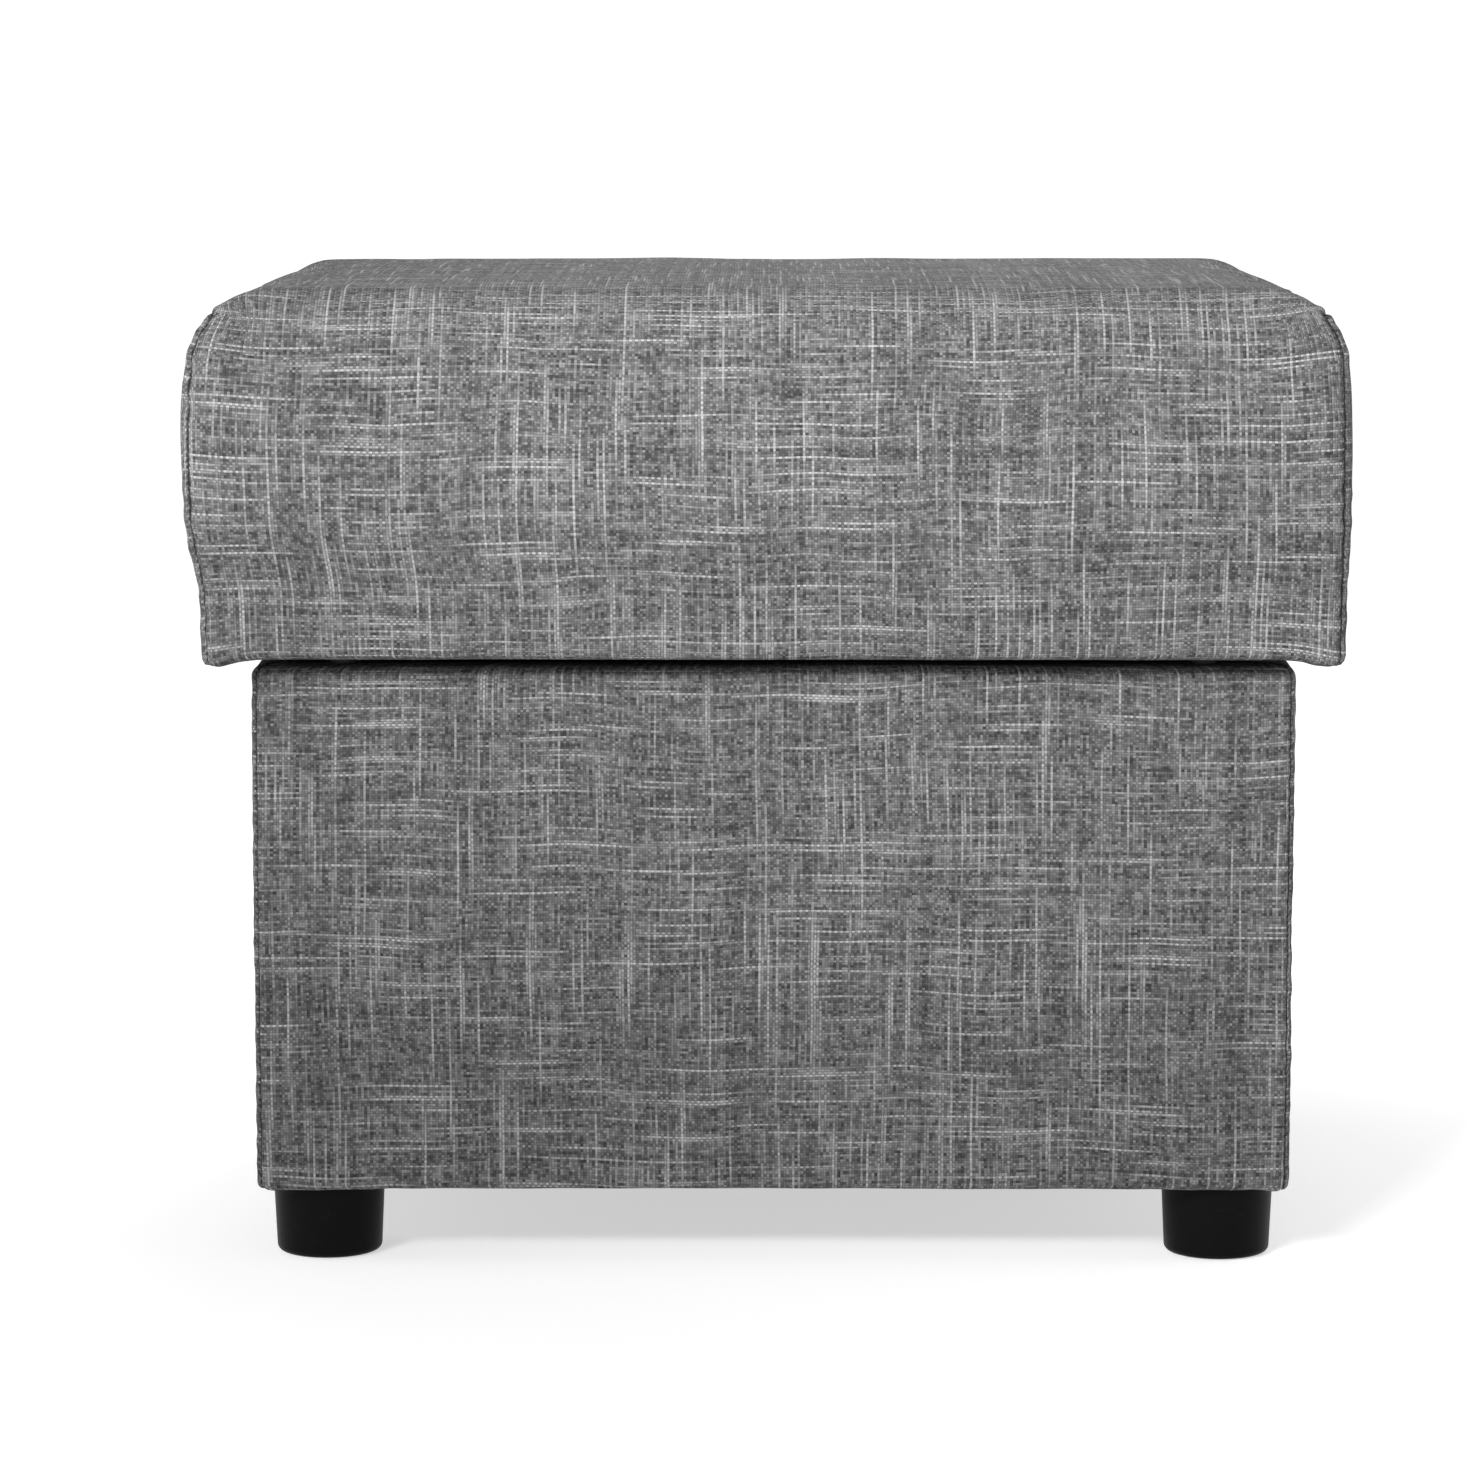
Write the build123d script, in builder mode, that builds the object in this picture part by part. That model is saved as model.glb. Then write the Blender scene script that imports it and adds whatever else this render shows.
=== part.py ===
from build123d import *

import os

# Storage ottoman: an upholstered box on four round feet, with a thick padded lid hinged at the back.
#
# Millimetres. +X is the right side, -Y the front, +Z up. The origin is on the floor, under the middle of
# the lid. The box is chipboard with thin padding and a fabric cover drawn over its rim. The lid is a timber
# frame with a board, a foam block, wadding and a fabric cover, and it overhangs the box on all four sides.

# ---- Driving dimensions ----
BASE_WIDTH = 460.0  # over the fabric
BASE_DEPTH = 371.0
LID_FRAME_WIDTH = 500.0  # over the fabric, round the lid's timber frame
LID_FRAME_DEPTH = 412.0
FOAM_BULGE = 4.5  # how far the foam pushes the cover out past the frame, each side
FLOOR_TO_BASE = 33.0  # the height of a foot
FLOOR_TO_RIM = 268.0
FLOOR_TO_LID = 273.0
FLOOR_TO_TOP = 431.0

# ---- Sheet and board stock ----
FABRIC = 1.5
NONWOVEN = 0.6
LINING = 0.8
SIDE_PADDING = 4.0
RIM_PADDING = 2.0
WALL = 15.0
BOTTOM_PANEL = 10.0
BATTEN = 25.0
RAIL_WIDTH = 45.0
RAIL_HEIGHT = 30.0
LID_BOARD = 12.0
LID_EDGE_WADDING = 2.5  # round the timber frame
LID_TOP_WADDING = 8.0

# ---- Base levels and half sizes ----
COVER_BOTTOM = FLOOR_TO_BASE + NONWOVEN
WALL_BOTTOM = COVER_BOTTOM + FABRIC
WALL_TOP = FLOOR_TO_RIM - FABRIC - RIM_PADDING
WALL_HEIGHT = WALL_TOP - WALL_BOTTOM
PANEL_TOP = WALL_BOTTOM + BOTTOM_PANEL
WOOD_X = BASE_WIDTH / 2 - FABRIC - SIDE_PADDING
WOOD_Y = BASE_DEPTH / 2 - FABRIC - SIDE_PADDING
INNER_X = WOOD_X - WALL
INNER_Y = WOOD_Y - WALL
BASE_CORNER = 6.0  # plan radius of the cover's upright corners
RIM_ROUND = 5.0
INSIDE_FLAP = 35.0  # how far the cover turns down inside the box
UNDER_FLAP = WALL + SIDE_PADDING + FABRIC - 0.5  # how far it turns in below the walls
BATTEN_TOP = 225.0
LINING_TOP = 262.0
LINING_GAP = 2.4  # room for the fabric flap and its staples behind the lining
DUST_COVER_MARGIN = 15.0

# ---- Lid levels and half sizes ----
LID_COVER_BOTTOM = FLOOR_TO_LID + NONWOVEN
RAIL_BOTTOM = LID_COVER_BOTTOM + FABRIC
BOARD_BOTTOM = RAIL_BOTTOM + RAIL_HEIGHT
BOARD_TOP = BOARD_BOTTOM + LID_BOARD
FOAM_TOP = FLOOR_TO_TOP - FABRIC - LID_TOP_WADDING
LID_WOOD_X = LID_FRAME_WIDTH / 2 - FABRIC - LID_EDGE_WADDING
LID_WOOD_Y = LID_FRAME_DEPTH / 2 - FABRIC - LID_EDGE_WADDING
LID_WOOD_CORNER = 10.0
FOAM_CORNER = 24.0
FOAM_ROUND = 22.0
FRAME_CORNER = 12.0
BULGE_CORNER = 28.0
TOP_ROUND = 27.0
BULGE_START = 303.0  # the cover leaves the timber frame here
BULGE_FULL = 330.0
LID_UNDER_FLAP = 25.0

# ---- Feet ----
FOOT_RADIUS = 25.0
FOOT_BASE_RADIUS = 23.5
FOOT_EDGE_ROUND = 3.0
FOOT_WALL = 2.5
FOOT_BOSS_RADIUS = 8.0
FOOT_SOLE = 4.0
FOOT_RIBS = 6
FOOT_RIB = 2.0
FOOT_RIB_ROOT = 0.5  # how far a rib is rooted in the boss
FOOT_X = 200.0
FOOT_Y = 154.0
FOOT_RECESS_RADIUS = 6.0
FOOT_RECESS_DEPTH = 18.0

# ---- Hinges ----
HINGE_X = 140.0
HINGE_LENGTH = 60.0
KNUCKLES = 5
LEAF = 1.5
LEAF_WIDTH = 28.65
LEAF_CORNER = 3.0
PIN_RADIUS = 1.6
PIN_CLEARANCE = 0.05
KNUCKLE_RADIUS = PIN_RADIUS + PIN_CLEARANCE + LEAF
KNUCKLE_GAP = 0.3  # between neighbouring knuckles, along the pin
KNUCKLE_RELIEF = 0.4  # round the other leaf's knuckles
PIN_HEAD_RADIUS = 2.6
PIN_HEAD = 1.0
HINGE_Y = BASE_DEPTH / 2 + KNUCKLE_RADIUS
HINGE_Z = FLOOR_TO_LID - KNUCKLE_RADIUS
LEAF_SCREWS = ((-20.0, 12.0), (0.0, 20.0), (20.0, 12.0))  # along the pin, out from the pin

# ---- Fasteners ----
SCREW_FIT = 0.05  # radial gap between a screw and its hole
LEAF_SCREW = {"head": 3.2, "shank": 1.7, "length": 16.0}
BASE_SCREW = {"head": 4.2, "shank": 2.1, "length": 45.0}
BOARD_SCREW = {"head": 4.2, "shank": 2.0, "length": 35.0}
FOOT_SCREW_RADIUS = 2.0
FOOT_SCREW_LENGTH = 40.0
FOOT_SCREW_HEAD = (4.6, 3.0)  # radius, height
BUMPER_RADIUS = 6.0
BUMPER_LIFT = 0.3  # gap left between a bumper and the rim
STAPLE_CROWN = 10.0
STAPLE_WIRE = 1.2
STAPLE_THICKNESS = 0.7
STAPLE_LEG = 6.0

BOTTOM = (Align.CENTER, Align.CENTER, Align.MIN)
TOP = (Align.CENTER, Align.CENTER, Align.MAX)
SIDES = ((-1, "left"), (1, "right"))
ENDS = ((-1, "front"), (1, "back"))
SCREW_HEIGHTS = (65.0, 150.0, 235.0)  # of the screws at the box's corners


def write(builder, label):
    """Labels a finished piece and writes its STEP file."""
    builder.part.label = label
    export_step(builder.part, f"parts/{label}.step")


def prism(half_x, half_y, bottom, top, corner=0.0, mode=Mode.ADD):
    """A block centred on the Z axis, with rounded upright corners if asked."""
    with BuildSketch(Plane.XY.offset(bottom)) as outline:
        if corner:
            RectangleRounded(2 * half_x, 2 * half_y, corner)
        else:
            Rectangle(2 * half_x, 2 * half_y)
    extrude(outline.sketch, amount=top - bottom, mode=mode)


def drill(places, radius, depth):
    """Cuts a plain hole at each place, going down that place's own Z axis."""
    with Locations(*places):
        Cylinder(radius, depth, align=TOP, mode=Mode.SUBTRACT)


def countersink(places, screw):
    """Cuts a countersunk hole for a screw at each place."""
    with Locations(*places):
        CounterSinkHole(screw["shank"] + SCREW_FIT, screw["head"] + SCREW_FIT, counter_sink_angle=90)


def flat_screw(screw):
    """A countersunk screw with its head's face at the origin and its point down."""
    head, shank, length = screw["head"], screw["shank"], screw["length"]
    with BuildPart() as body:
        with BuildSketch(Plane.XZ):
            with BuildLine():
                Polyline(
                    (0, 0),
                    (head, 0),
                    (shank, shank - head),
                    (shank, 2 * shank - length),
                    (0, -length),
                    close=True,
                )
            make_face()
        revolve(axis=Axis.Z)
    return body.part


def screw_group(screw, places, label):
    """Identical screws, one at each place, as separate solids in one node."""
    one = flat_screw(screw)
    with BuildPart() as group:
        with Locations(*places):
            add(one)
    write(group, label)


def staple_group(places, label):
    """Staples with their crowns on the surface at each place and their legs driven in."""
    half = STAPLE_CROWN / 2
    inner = half - STAPLE_THICKNESS
    with BuildPart() as staple:
        with BuildSketch(Plane.XZ):
            with BuildLine():
                Polyline(
                    (-half, STAPLE_THICKNESS),
                    (half, STAPLE_THICKNESS),
                    (half, -STAPLE_LEG),
                    (inner, -STAPLE_LEG),
                    (inner, 0),
                    (-inner, 0),
                    (-inner, -STAPLE_LEG),
                    (-half, -STAPLE_LEG),
                    close=True,
                )
            make_face()
        extrude(amount=STAPLE_WIRE / 2, both=True)
    with BuildPart() as group:
        with Locations(*places):
            add(staple.part)
    write(group, label)


def row(count, spacing):
    """Positions of evenly spaced things, centred on 0."""
    return [(i - (count - 1) / 2) * spacing for i in range(count)]


# ---- Where the fasteners go. Each place's Z axis points out of the material. ----


def base_screw_places():
    """Through the front and back walls into the side walls, and through all four into the bottom panel."""
    side_wall_middle = INNER_X + WALL / 2
    panel_middle = WALL_BOTTOM + BOTTOM_PANEL / 2
    places = []
    for end, _ in ENDS:
        spots = [(s * side_wall_middle, z) for s in (-1, 1) for z in SCREW_HEIGHTS]
        spots += [(x, panel_middle) for x in row(2, 200.0)]
        places += [Plane((x, end * WOOD_Y, z), z_dir=(0, end, 0)) for x, z in spots]
    for side, _ in SIDES:
        places += [
            Plane((side * WOOD_X, y, panel_middle), z_dir=(side, 0, 0)) for y in row(2, 160.0)
        ]
    return places


def leaf_frame(side, leaf):
    """A hinge leaf's own frame: X along the pin, Y away from it along the leaf, Z to the face screwed to."""
    outward = (0, -1, 0) if leaf == "base" else (0, 0, 1)
    return Plane((side * HINGE_X, HINGE_Y, HINGE_Z), x_dir=(-1, 0, 0), z_dir=outward)


def leaf_screw_places(leaf):
    """The leaf screws of both hinges, on the exposed face of the base or lid leaf."""
    places = []
    for side, _ in SIDES:
        frame = leaf_frame(side, leaf)
        for along, out in LEAF_SCREWS:
            spot = frame.from_local_coords((along, out, KNUCKLE_RADIUS - LEAF))
            places.append(Plane(spot, x_dir=(1, 0, 0), z_dir=-frame.z_dir))
    return places


def board_screw_places():
    """Down through the lid board into the middle of each rail."""
    rail_x = LID_WOOD_X - RAIL_WIDTH / 2
    rail_y = LID_WOOD_Y - RAIL_WIDTH / 2
    spots = [(x, s * rail_y) for s in (-1, 1) for x in (-rail_x, *row(3, 110.0), rail_x)]
    spots += [(s * rail_x, y) for s in (-1, 1) for y in row(2, 140.0)]
    return [Plane((x, y, BOARD_TOP)) for x, y in spots]


def foot_screw_places():
    """Up through the feet, from the bottom of each foot's recess."""
    return [
        Plane((s * FOOT_X, e * FOOT_Y, FOOT_RECESS_DEPTH), z_dir=(0, 0, -1))
        for s, _ in SIDES
        for e, _ in ENDS
    ]


def upright_staple_places(half_x, half_y, height, per_end, per_side, pitch):
    """Inside the box, crowns level, legs into the walls."""
    places = []
    for end, _ in ENDS:
        places += [
            Plane((x, end * half_y, height), x_dir=(1, 0, 0), z_dir=(0, -end, 0))
            for x in row(per_end, pitch)
        ]
    for side, _ in SIDES:
        places += [
            Plane((side * half_x, y, height), x_dir=(0, 1, 0), z_dir=(-side, 0, 0))
            for y in row(per_side, pitch)
        ]
    return places


def underside_staple_places(half_x, half_y, height, per_end, per_side, pitch, keep_off=None):
    """Round an underside, crowns along its edges, legs up. keep_off says which to leave out at the back."""
    places = []
    for end, _ in ENDS:
        for x in row(per_end, pitch):
            if not (end > 0 and keep_off and keep_off(x)):
                places.append(Plane((x, end * half_y, height), x_dir=(1, 0, 0), z_dir=(0, 0, -1)))
    for side, _ in SIDES:
        places += [
            Plane((side * half_x, y, height), x_dir=(0, 1, 0), z_dir=(0, 0, -1))
            for y in row(per_side, pitch)
        ]
    return places


# ---- Box carcass ----


def box_walls():
    """Front and back walls cover the ends of the side walls."""
    for end, end_name in ENDS:
        with BuildPart() as wall:
            with BuildSketch(Plane.XY.offset(WALL_BOTTOM)):
                with Locations((0, end * (INNER_Y + WALL / 2))):
                    Rectangle(2 * WOOD_X, WALL)
            extrude(amount=WALL_HEIGHT)
            countersink([p for p in base_screw_places() if p.z_dir.Y * end > 0.5], BASE_SCREW)
            if end_name == "back":
                drill(leaf_screw_places("base"), LEAF_SCREW["shank"] + SCREW_FIT, LEAF_SCREW["length"])
        write(wall, f"base_{end_name}_wall")
    for side, side_name in SIDES:
        with BuildPart() as wall:
            with BuildSketch(Plane.XY.offset(WALL_BOTTOM)):
                with Locations((side * (INNER_X + WALL / 2), 0)):
                    Rectangle(WALL, 2 * INNER_Y)
            extrude(amount=WALL_HEIGHT)
            across = [p for p in base_screw_places() if abs(p.z_dir.Y) > 0.5]
            drill(across, BASE_SCREW["shank"] + SCREW_FIT, BASE_SCREW["length"])
            countersink([p for p in base_screw_places() if p.z_dir.X * side > 0.5], BASE_SCREW)
        write(wall, f"base_{side_name}_wall")


def bottom_panel():
    """Sits between the walls, flush with their lower edges."""
    with BuildPart() as panel:
        prism(INNER_X, INNER_Y, WALL_BOTTOM, PANEL_TOP)
        drill(base_screw_places(), BASE_SCREW["shank"] + SCREW_FIT, BASE_SCREW["length"])
        drill(foot_screw_places(), FOOT_SCREW_RADIUS + SCREW_FIT, FOOT_SCREW_LENGTH)
    write(panel, "base_bottom_panel")


def corner_battens():
    """Square battens up the inside corners, which also take the foot screws."""
    for side, side_name in SIDES:
        for end, end_name in ENDS:
            with BuildPart() as batten:
                with BuildSketch(Plane.XY.offset(PANEL_TOP)):
                    with Locations((side * (INNER_X - BATTEN / 2), end * (INNER_Y - BATTEN / 2))):
                        Rectangle(BATTEN, BATTEN)
                extrude(amount=BATTEN_TOP - PANEL_TOP)
                chamfer(batten.edges().group_by(Axis.Z)[-1], 1.5)
                drill(foot_screw_places(), FOOT_SCREW_RADIUS + SCREW_FIT, FOOT_SCREW_LENGTH)
            write(batten, f"corner_batten_{end_name}_{side_name}")


# ---- Box upholstery ----


def padded_box():
    """The outer shape of the padded walls, under the cover."""
    with BuildPart() as padded:
        outer_x, outer_y = WOOD_X + SIDE_PADDING, WOOD_Y + SIDE_PADDING
        prism(outer_x, outer_y, WALL_BOTTOM, WALL_TOP + RIM_PADDING, BASE_CORNER - FABRIC)
        fillet(padded.edges().group_by(Axis.Z)[-1], RIM_ROUND - FABRIC)
    return padded


def base_padding():
    """Thin padding round the walls and over their top edges."""
    padded = padded_box()
    with BuildPart() as padding:
        add(padded.part)
        prism(WOOD_X, WOOD_Y, WALL_BOTTOM, WALL_TOP, mode=Mode.SUBTRACT)
        prism(INNER_X, INNER_Y, WALL_TOP, FLOOR_TO_RIM, mode=Mode.SUBTRACT)
        drill(leaf_screw_places("base"), LEAF_SCREW["shank"] + SCREW_FIT, LEAF_SCREW["length"])
    write(padding, "base_padding")


def base_sleeve():
    """The whole cover: outside, over the rim, down inside the walls, and turned in below them."""
    padded = padded_box()
    with BuildPart() as sleeve:
        prism(BASE_WIDTH / 2, BASE_DEPTH / 2, COVER_BOTTOM, FLOOR_TO_RIM, BASE_CORNER)
        fillet(sleeve.edges().group_by(Axis.Z)[-1], RIM_ROUND)
        add(padded.part, mode=Mode.SUBTRACT)
        flap_x, flap_y = INNER_X - FABRIC, INNER_Y - FABRIC
        under_x, under_y = BASE_WIDTH / 2 - UNDER_FLAP, BASE_DEPTH / 2 - UNDER_FLAP
        prism(under_x, under_y, COVER_BOTTOM, WALL_BOTTOM, mode=Mode.SUBTRACT)
        prism(flap_x, flap_y, WALL_TOP, FLOOR_TO_RIM, mode=Mode.SUBTRACT)
        prism(INNER_X, INNER_Y, FLOOR_TO_RIM - INSIDE_FLAP, WALL_TOP + RIM_PADDING)
        prism(flap_x, flap_y, WALL_BOTTOM, FLOOR_TO_RIM, mode=Mode.SUBTRACT)
        drill(leaf_screw_places("base"), LEAF_SCREW["shank"] + SCREW_FIT, LEAF_SCREW["length"])
    return sleeve


def cover_sector(side_x, side_y):
    """The plan area of one panel of the box's cover: a trapezium between the mitres at two corners."""
    near_x, near_y = INNER_X - WALL, INNER_Y - WALL
    far_x, far_y = near_x + 4 * WALL, near_y + 4 * WALL
    if side_y:
        near = ((-near_x, side_y * near_y), (near_x, side_y * near_y))
        far = ((far_x, side_y * far_y), (-far_x, side_y * far_y))
    else:
        near = ((side_x * near_x, -near_y), (side_x * near_x, near_y))
        far = ((side_x * far_x, far_y), (side_x * far_x, -far_y))
    return near + far


def base_cover():
    """The cover's four panels, which are sewn together up the corners."""
    sleeve = base_sleeve()
    for side_x, side_y, name in ((0, -1, "front"), (1, 0, "right"), (0, 1, "back"), (-1, 0, "left")):
        with BuildPart() as panel:
            add(sleeve.part)
            with BuildSketch(Plane.XY):
                with BuildLine():
                    Polyline(*cover_sector(side_x, side_y), close=True)
                make_face()
            extrude(amount=FLOOR_TO_TOP, mode=Mode.INTERSECT)
        write(panel, f"base_cover_{name}_panel")


def notched_outline(inset):
    """The box's inside in plan, less the corner battens, drawn in by inset."""
    x, y = INNER_X - inset, INNER_Y - inset
    nx, ny = INNER_X - BATTEN - inset, INNER_Y - BATTEN - inset
    quarter = ((x, ny), (nx, ny), (nx, y))
    points = list(quarter)
    points += [(-a, b) for a, b in reversed(quarter)]
    points += [(-a, -b) for a, b in quarter]
    points += [(a, -b) for a, b in reversed(quarter)]
    return points


def base_lining():
    """A thin dark lining: floor and walls in one piece, folded round the battens."""
    with BuildPart() as lining:
        for inset, bottom, mode in (
            (LINING_GAP, PANEL_TOP, Mode.ADD),
            (LINING_GAP + LINING, PANEL_TOP + LINING, Mode.SUBTRACT),
        ):
            with BuildSketch(Plane.XY.offset(bottom)):
                with BuildLine():
                    Polyline(*notched_outline(inset), close=True)
                make_face()
            extrude(amount=LINING_TOP - bottom, mode=mode)
    write(lining, "base_lining")


def dust_cover(label, half_x, half_y, bottom, screw_places, radius, depth):
    """A thin sheet stapled across an underside."""
    with BuildPart() as sheet:
        prism(half_x, half_y, bottom, bottom + NONWOVEN, 4.0)
        drill(screw_places, radius + SCREW_FIT, depth)
    write(sheet, label)


# ---- Feet ----


def foot_moulding():
    """A moulded foot at the origin: a tapered wall, a sole, and a ribbed boss for the screw, open on top."""
    screw_hole = FOOT_SCREW_RADIUS + SCREW_FIT
    with BuildPart() as foot:
        with BuildSketch(Plane.XZ):
            with BuildLine():
                Polyline(
                    (0, 0),
                    (FOOT_BASE_RADIUS, 0),
                    (FOOT_RADIUS, FLOOR_TO_BASE),
                    (0, FLOOR_TO_BASE),
                    close=True,
                )
            make_face()
        revolve(axis=Axis.Z)
        fillet(foot.edges().group_by(Axis.Z)[0], FOOT_EDGE_ROUND)
        with BuildSketch(Plane.XY.offset(FOOT_SOLE)):
            Circle(FOOT_BASE_RADIUS - FOOT_WALL)
            Circle(FOOT_BOSS_RADIUS, mode=Mode.SUBTRACT)
        extrude(amount=FLOOR_TO_BASE, mode=Mode.SUBTRACT)
        rib_run = FOOT_BASE_RADIUS - FOOT_BOSS_RADIUS - FOOT_WALL / 2
        with BuildSketch(Plane.XY.offset(FOOT_SOLE)):
            with PolarLocations(FOOT_BOSS_RADIUS - FOOT_RIB_ROOT + rib_run / 2, FOOT_RIBS):
                Rectangle(rib_run, FOOT_RIB)
        extrude(amount=FLOOR_TO_BASE - FOOT_SOLE)
        Cylinder(FOOT_RECESS_RADIUS, FOOT_RECESS_DEPTH, align=BOTTOM, mode=Mode.SUBTRACT)
        Cylinder(screw_hole, FLOOR_TO_BASE, align=BOTTOM, mode=Mode.SUBTRACT)
    return foot


def feet():
    """One foot under each corner."""
    moulding = foot_moulding()
    for side, side_name in SIDES:
        for end, end_name in ENDS:
            with BuildPart() as foot:
                with Locations((side * FOOT_X, end * FOOT_Y, 0)):
                    add(moulding.part)
            write(foot, f"foot_{end_name}_{side_name}")


def foot_screws():
    """Pan-head screws up through the feet into the bottom panel and battens."""
    head_radius, head_height = FOOT_SCREW_HEAD
    with BuildPart() as screw:
        with BuildSketch(Plane.XZ):
            with BuildLine():
                Polyline(
                    (0, 0),
                    (0, head_height),
                    (head_radius / 2, head_height),
                    (head_radius, head_height / 2),
                    (head_radius, 0),
                    (FOOT_SCREW_RADIUS, 0),
                    (FOOT_SCREW_RADIUS, 2 * FOOT_SCREW_RADIUS - FOOT_SCREW_LENGTH),
                    (0, -FOOT_SCREW_LENGTH),
                    close=True,
                )
            make_face()
        revolve(axis=Axis.Z)
        slot_depth = head_height / 2
        with Locations((0, 0, head_height)):
            Box(head_radius * 1.1, 0.9, 2 * slot_depth, mode=Mode.SUBTRACT)
            Box(0.9, head_radius * 1.1, 2 * slot_depth, mode=Mode.SUBTRACT)
    with BuildPart() as group:
        with Locations(*foot_screw_places()):
            add(screw.part)
    write(group, "foot_screws")


# ---- Hinges ----


def hinge_leaf(side, side_name, leaf):
    """One rolled leaf. The base leaf has the odd knuckles and the lid leaf the even ones."""
    own = 0 if leaf == "base" else 1
    pitch = HINGE_LENGTH / KNUCKLES
    middles = row(KNUCKLES, pitch)
    frame = leaf_frame(side, leaf)
    with BuildPart(frame) as plate:
        with Locations((0, LEAF_WIDTH / 2, KNUCKLE_RADIUS - LEAF / 2)):
            Box(HINGE_LENGTH, LEAF_WIDTH, LEAF)
        relief = 2 * (KNUCKLE_RADIUS + KNUCKLE_RELIEF)
        others = [(x, 0, 0) for i, x in enumerate(middles) if i % 2 != own]
        with Locations(*others):
            Box(pitch + KNUCKLE_GAP, relief, relief, mode=Mode.SUBTRACT)
        with Locations(*[(x, 0, 0) for i, x in enumerate(middles) if i % 2 == own]):
            Cylinder(KNUCKLE_RADIUS, pitch - KNUCKLE_GAP, rotation=(0, 90, 0))
        Cylinder(
            PIN_RADIUS + PIN_CLEARANCE, 2 * HINGE_LENGTH, rotation=(0, 90, 0), mode=Mode.SUBTRACT
        )
        corners = plate.edges().filter_by(Axis(frame.origin, frame.z_dir))
        fillet(corners.sort_by_distance(frame.origin)[-2:], LEAF_CORNER)
        exposed = KNUCKLE_RADIUS - LEAF
        countersink([Location((x, y, exposed), (180, 0, 0)) for x, y in LEAF_SCREWS], LEAF_SCREW)
    write(plate, f"hinge_{side_name}_{leaf}_leaf")


def hinge_pin(side, side_name):
    """A plain pin with a head pressed on each end, outside the end knuckles."""
    with BuildPart(leaf_frame(side, "base")) as pin:
        Cylinder(PIN_RADIUS, HINGE_LENGTH + 2 * PIN_HEAD, rotation=(0, 90, 0))
        with Locations(*[(x, 0, 0) for x in row(2, HINGE_LENGTH + PIN_HEAD)]):
            Cylinder(PIN_HEAD_RADIUS, PIN_HEAD, rotation=(0, 90, 0))
    write(pin, f"hinge_{side_name}_pin")


# ---- Lid ----


def lid_rails():
    """The lid's timber frame. Front and back rails run the full width."""
    for end, end_name in ENDS:
        with BuildPart() as rail:
            with BuildSketch(Plane.XY.offset(RAIL_BOTTOM)):
                with Locations((0, end * (LID_WOOD_Y - RAIL_WIDTH / 2))):
                    Rectangle(2 * LID_WOOD_X, RAIL_WIDTH)
            extrude(amount=RAIL_HEIGHT)
            outer = rail.edges().filter_by(Axis.Z).group_by(Axis.Y)[0 if end < 0 else -1]
            fillet(outer, LID_WOOD_CORNER)
            drill(board_screw_places(), BOARD_SCREW["shank"] + SCREW_FIT, BOARD_SCREW["length"])
            if end_name == "back":
                drill(leaf_screw_places("lid"), LEAF_SCREW["shank"] + SCREW_FIT, LEAF_SCREW["length"])
        write(rail, f"lid_{end_name}_rail")
    for side, side_name in SIDES:
        with BuildPart() as rail:
            with BuildSketch(Plane.XY.offset(RAIL_BOTTOM)):
                with Locations((side * (LID_WOOD_X - RAIL_WIDTH / 2), 0)):
                    Rectangle(RAIL_WIDTH, 2 * (LID_WOOD_Y - RAIL_WIDTH))
            extrude(amount=RAIL_HEIGHT)
            drill(board_screw_places(), BOARD_SCREW["shank"] + SCREW_FIT, BOARD_SCREW["length"])
        write(rail, f"lid_{side_name}_rail")


def lid_board():
    """The board that carries the foam."""
    with BuildPart() as board:
        prism(LID_WOOD_X, LID_WOOD_Y, BOARD_BOTTOM, BOARD_TOP, LID_WOOD_CORNER)
        countersink(board_screw_places(), BOARD_SCREW)
    write(board, "lid_board")


def foam_block():
    """The foam's shape, standing on the board."""
    with BuildPart() as foam:
        prism(LID_WOOD_X, LID_WOOD_Y, BOARD_TOP, FOAM_TOP, FOAM_CORNER)
        fillet(foam.edges().group_by(Axis.Z)[-1], FOAM_ROUND)
    return foam


def cushion(inset):
    """The lid's outer shape drawn in by inset: straight round the frame, then swelling out over the foam."""
    frame_x, frame_y = LID_FRAME_WIDTH / 2 - inset, LID_FRAME_DEPTH / 2 - inset
    bulge_x, bulge_y = frame_x + FOAM_BULGE, frame_y + FOAM_BULGE
    with BuildPart() as body:
        prism(frame_x, frame_y, LID_COVER_BOTTOM + inset, BULGE_START, FRAME_CORNER - inset)
        with BuildSketch(Plane.XY.offset(BULGE_START)):
            RectangleRounded(2 * frame_x, 2 * frame_y, FRAME_CORNER - inset)
        with BuildSketch(Plane.XY.offset(BULGE_FULL)):
            RectangleRounded(2 * bulge_x, 2 * bulge_y, BULGE_CORNER - inset)
        loft(ruled=True)
        prism(bulge_x, bulge_y, BULGE_FULL, FLOOR_TO_TOP - inset, BULGE_CORNER - inset)
        fillet(body.edges().group_by(Axis.Z)[-1], TOP_ROUND - inset)
    return body


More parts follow.
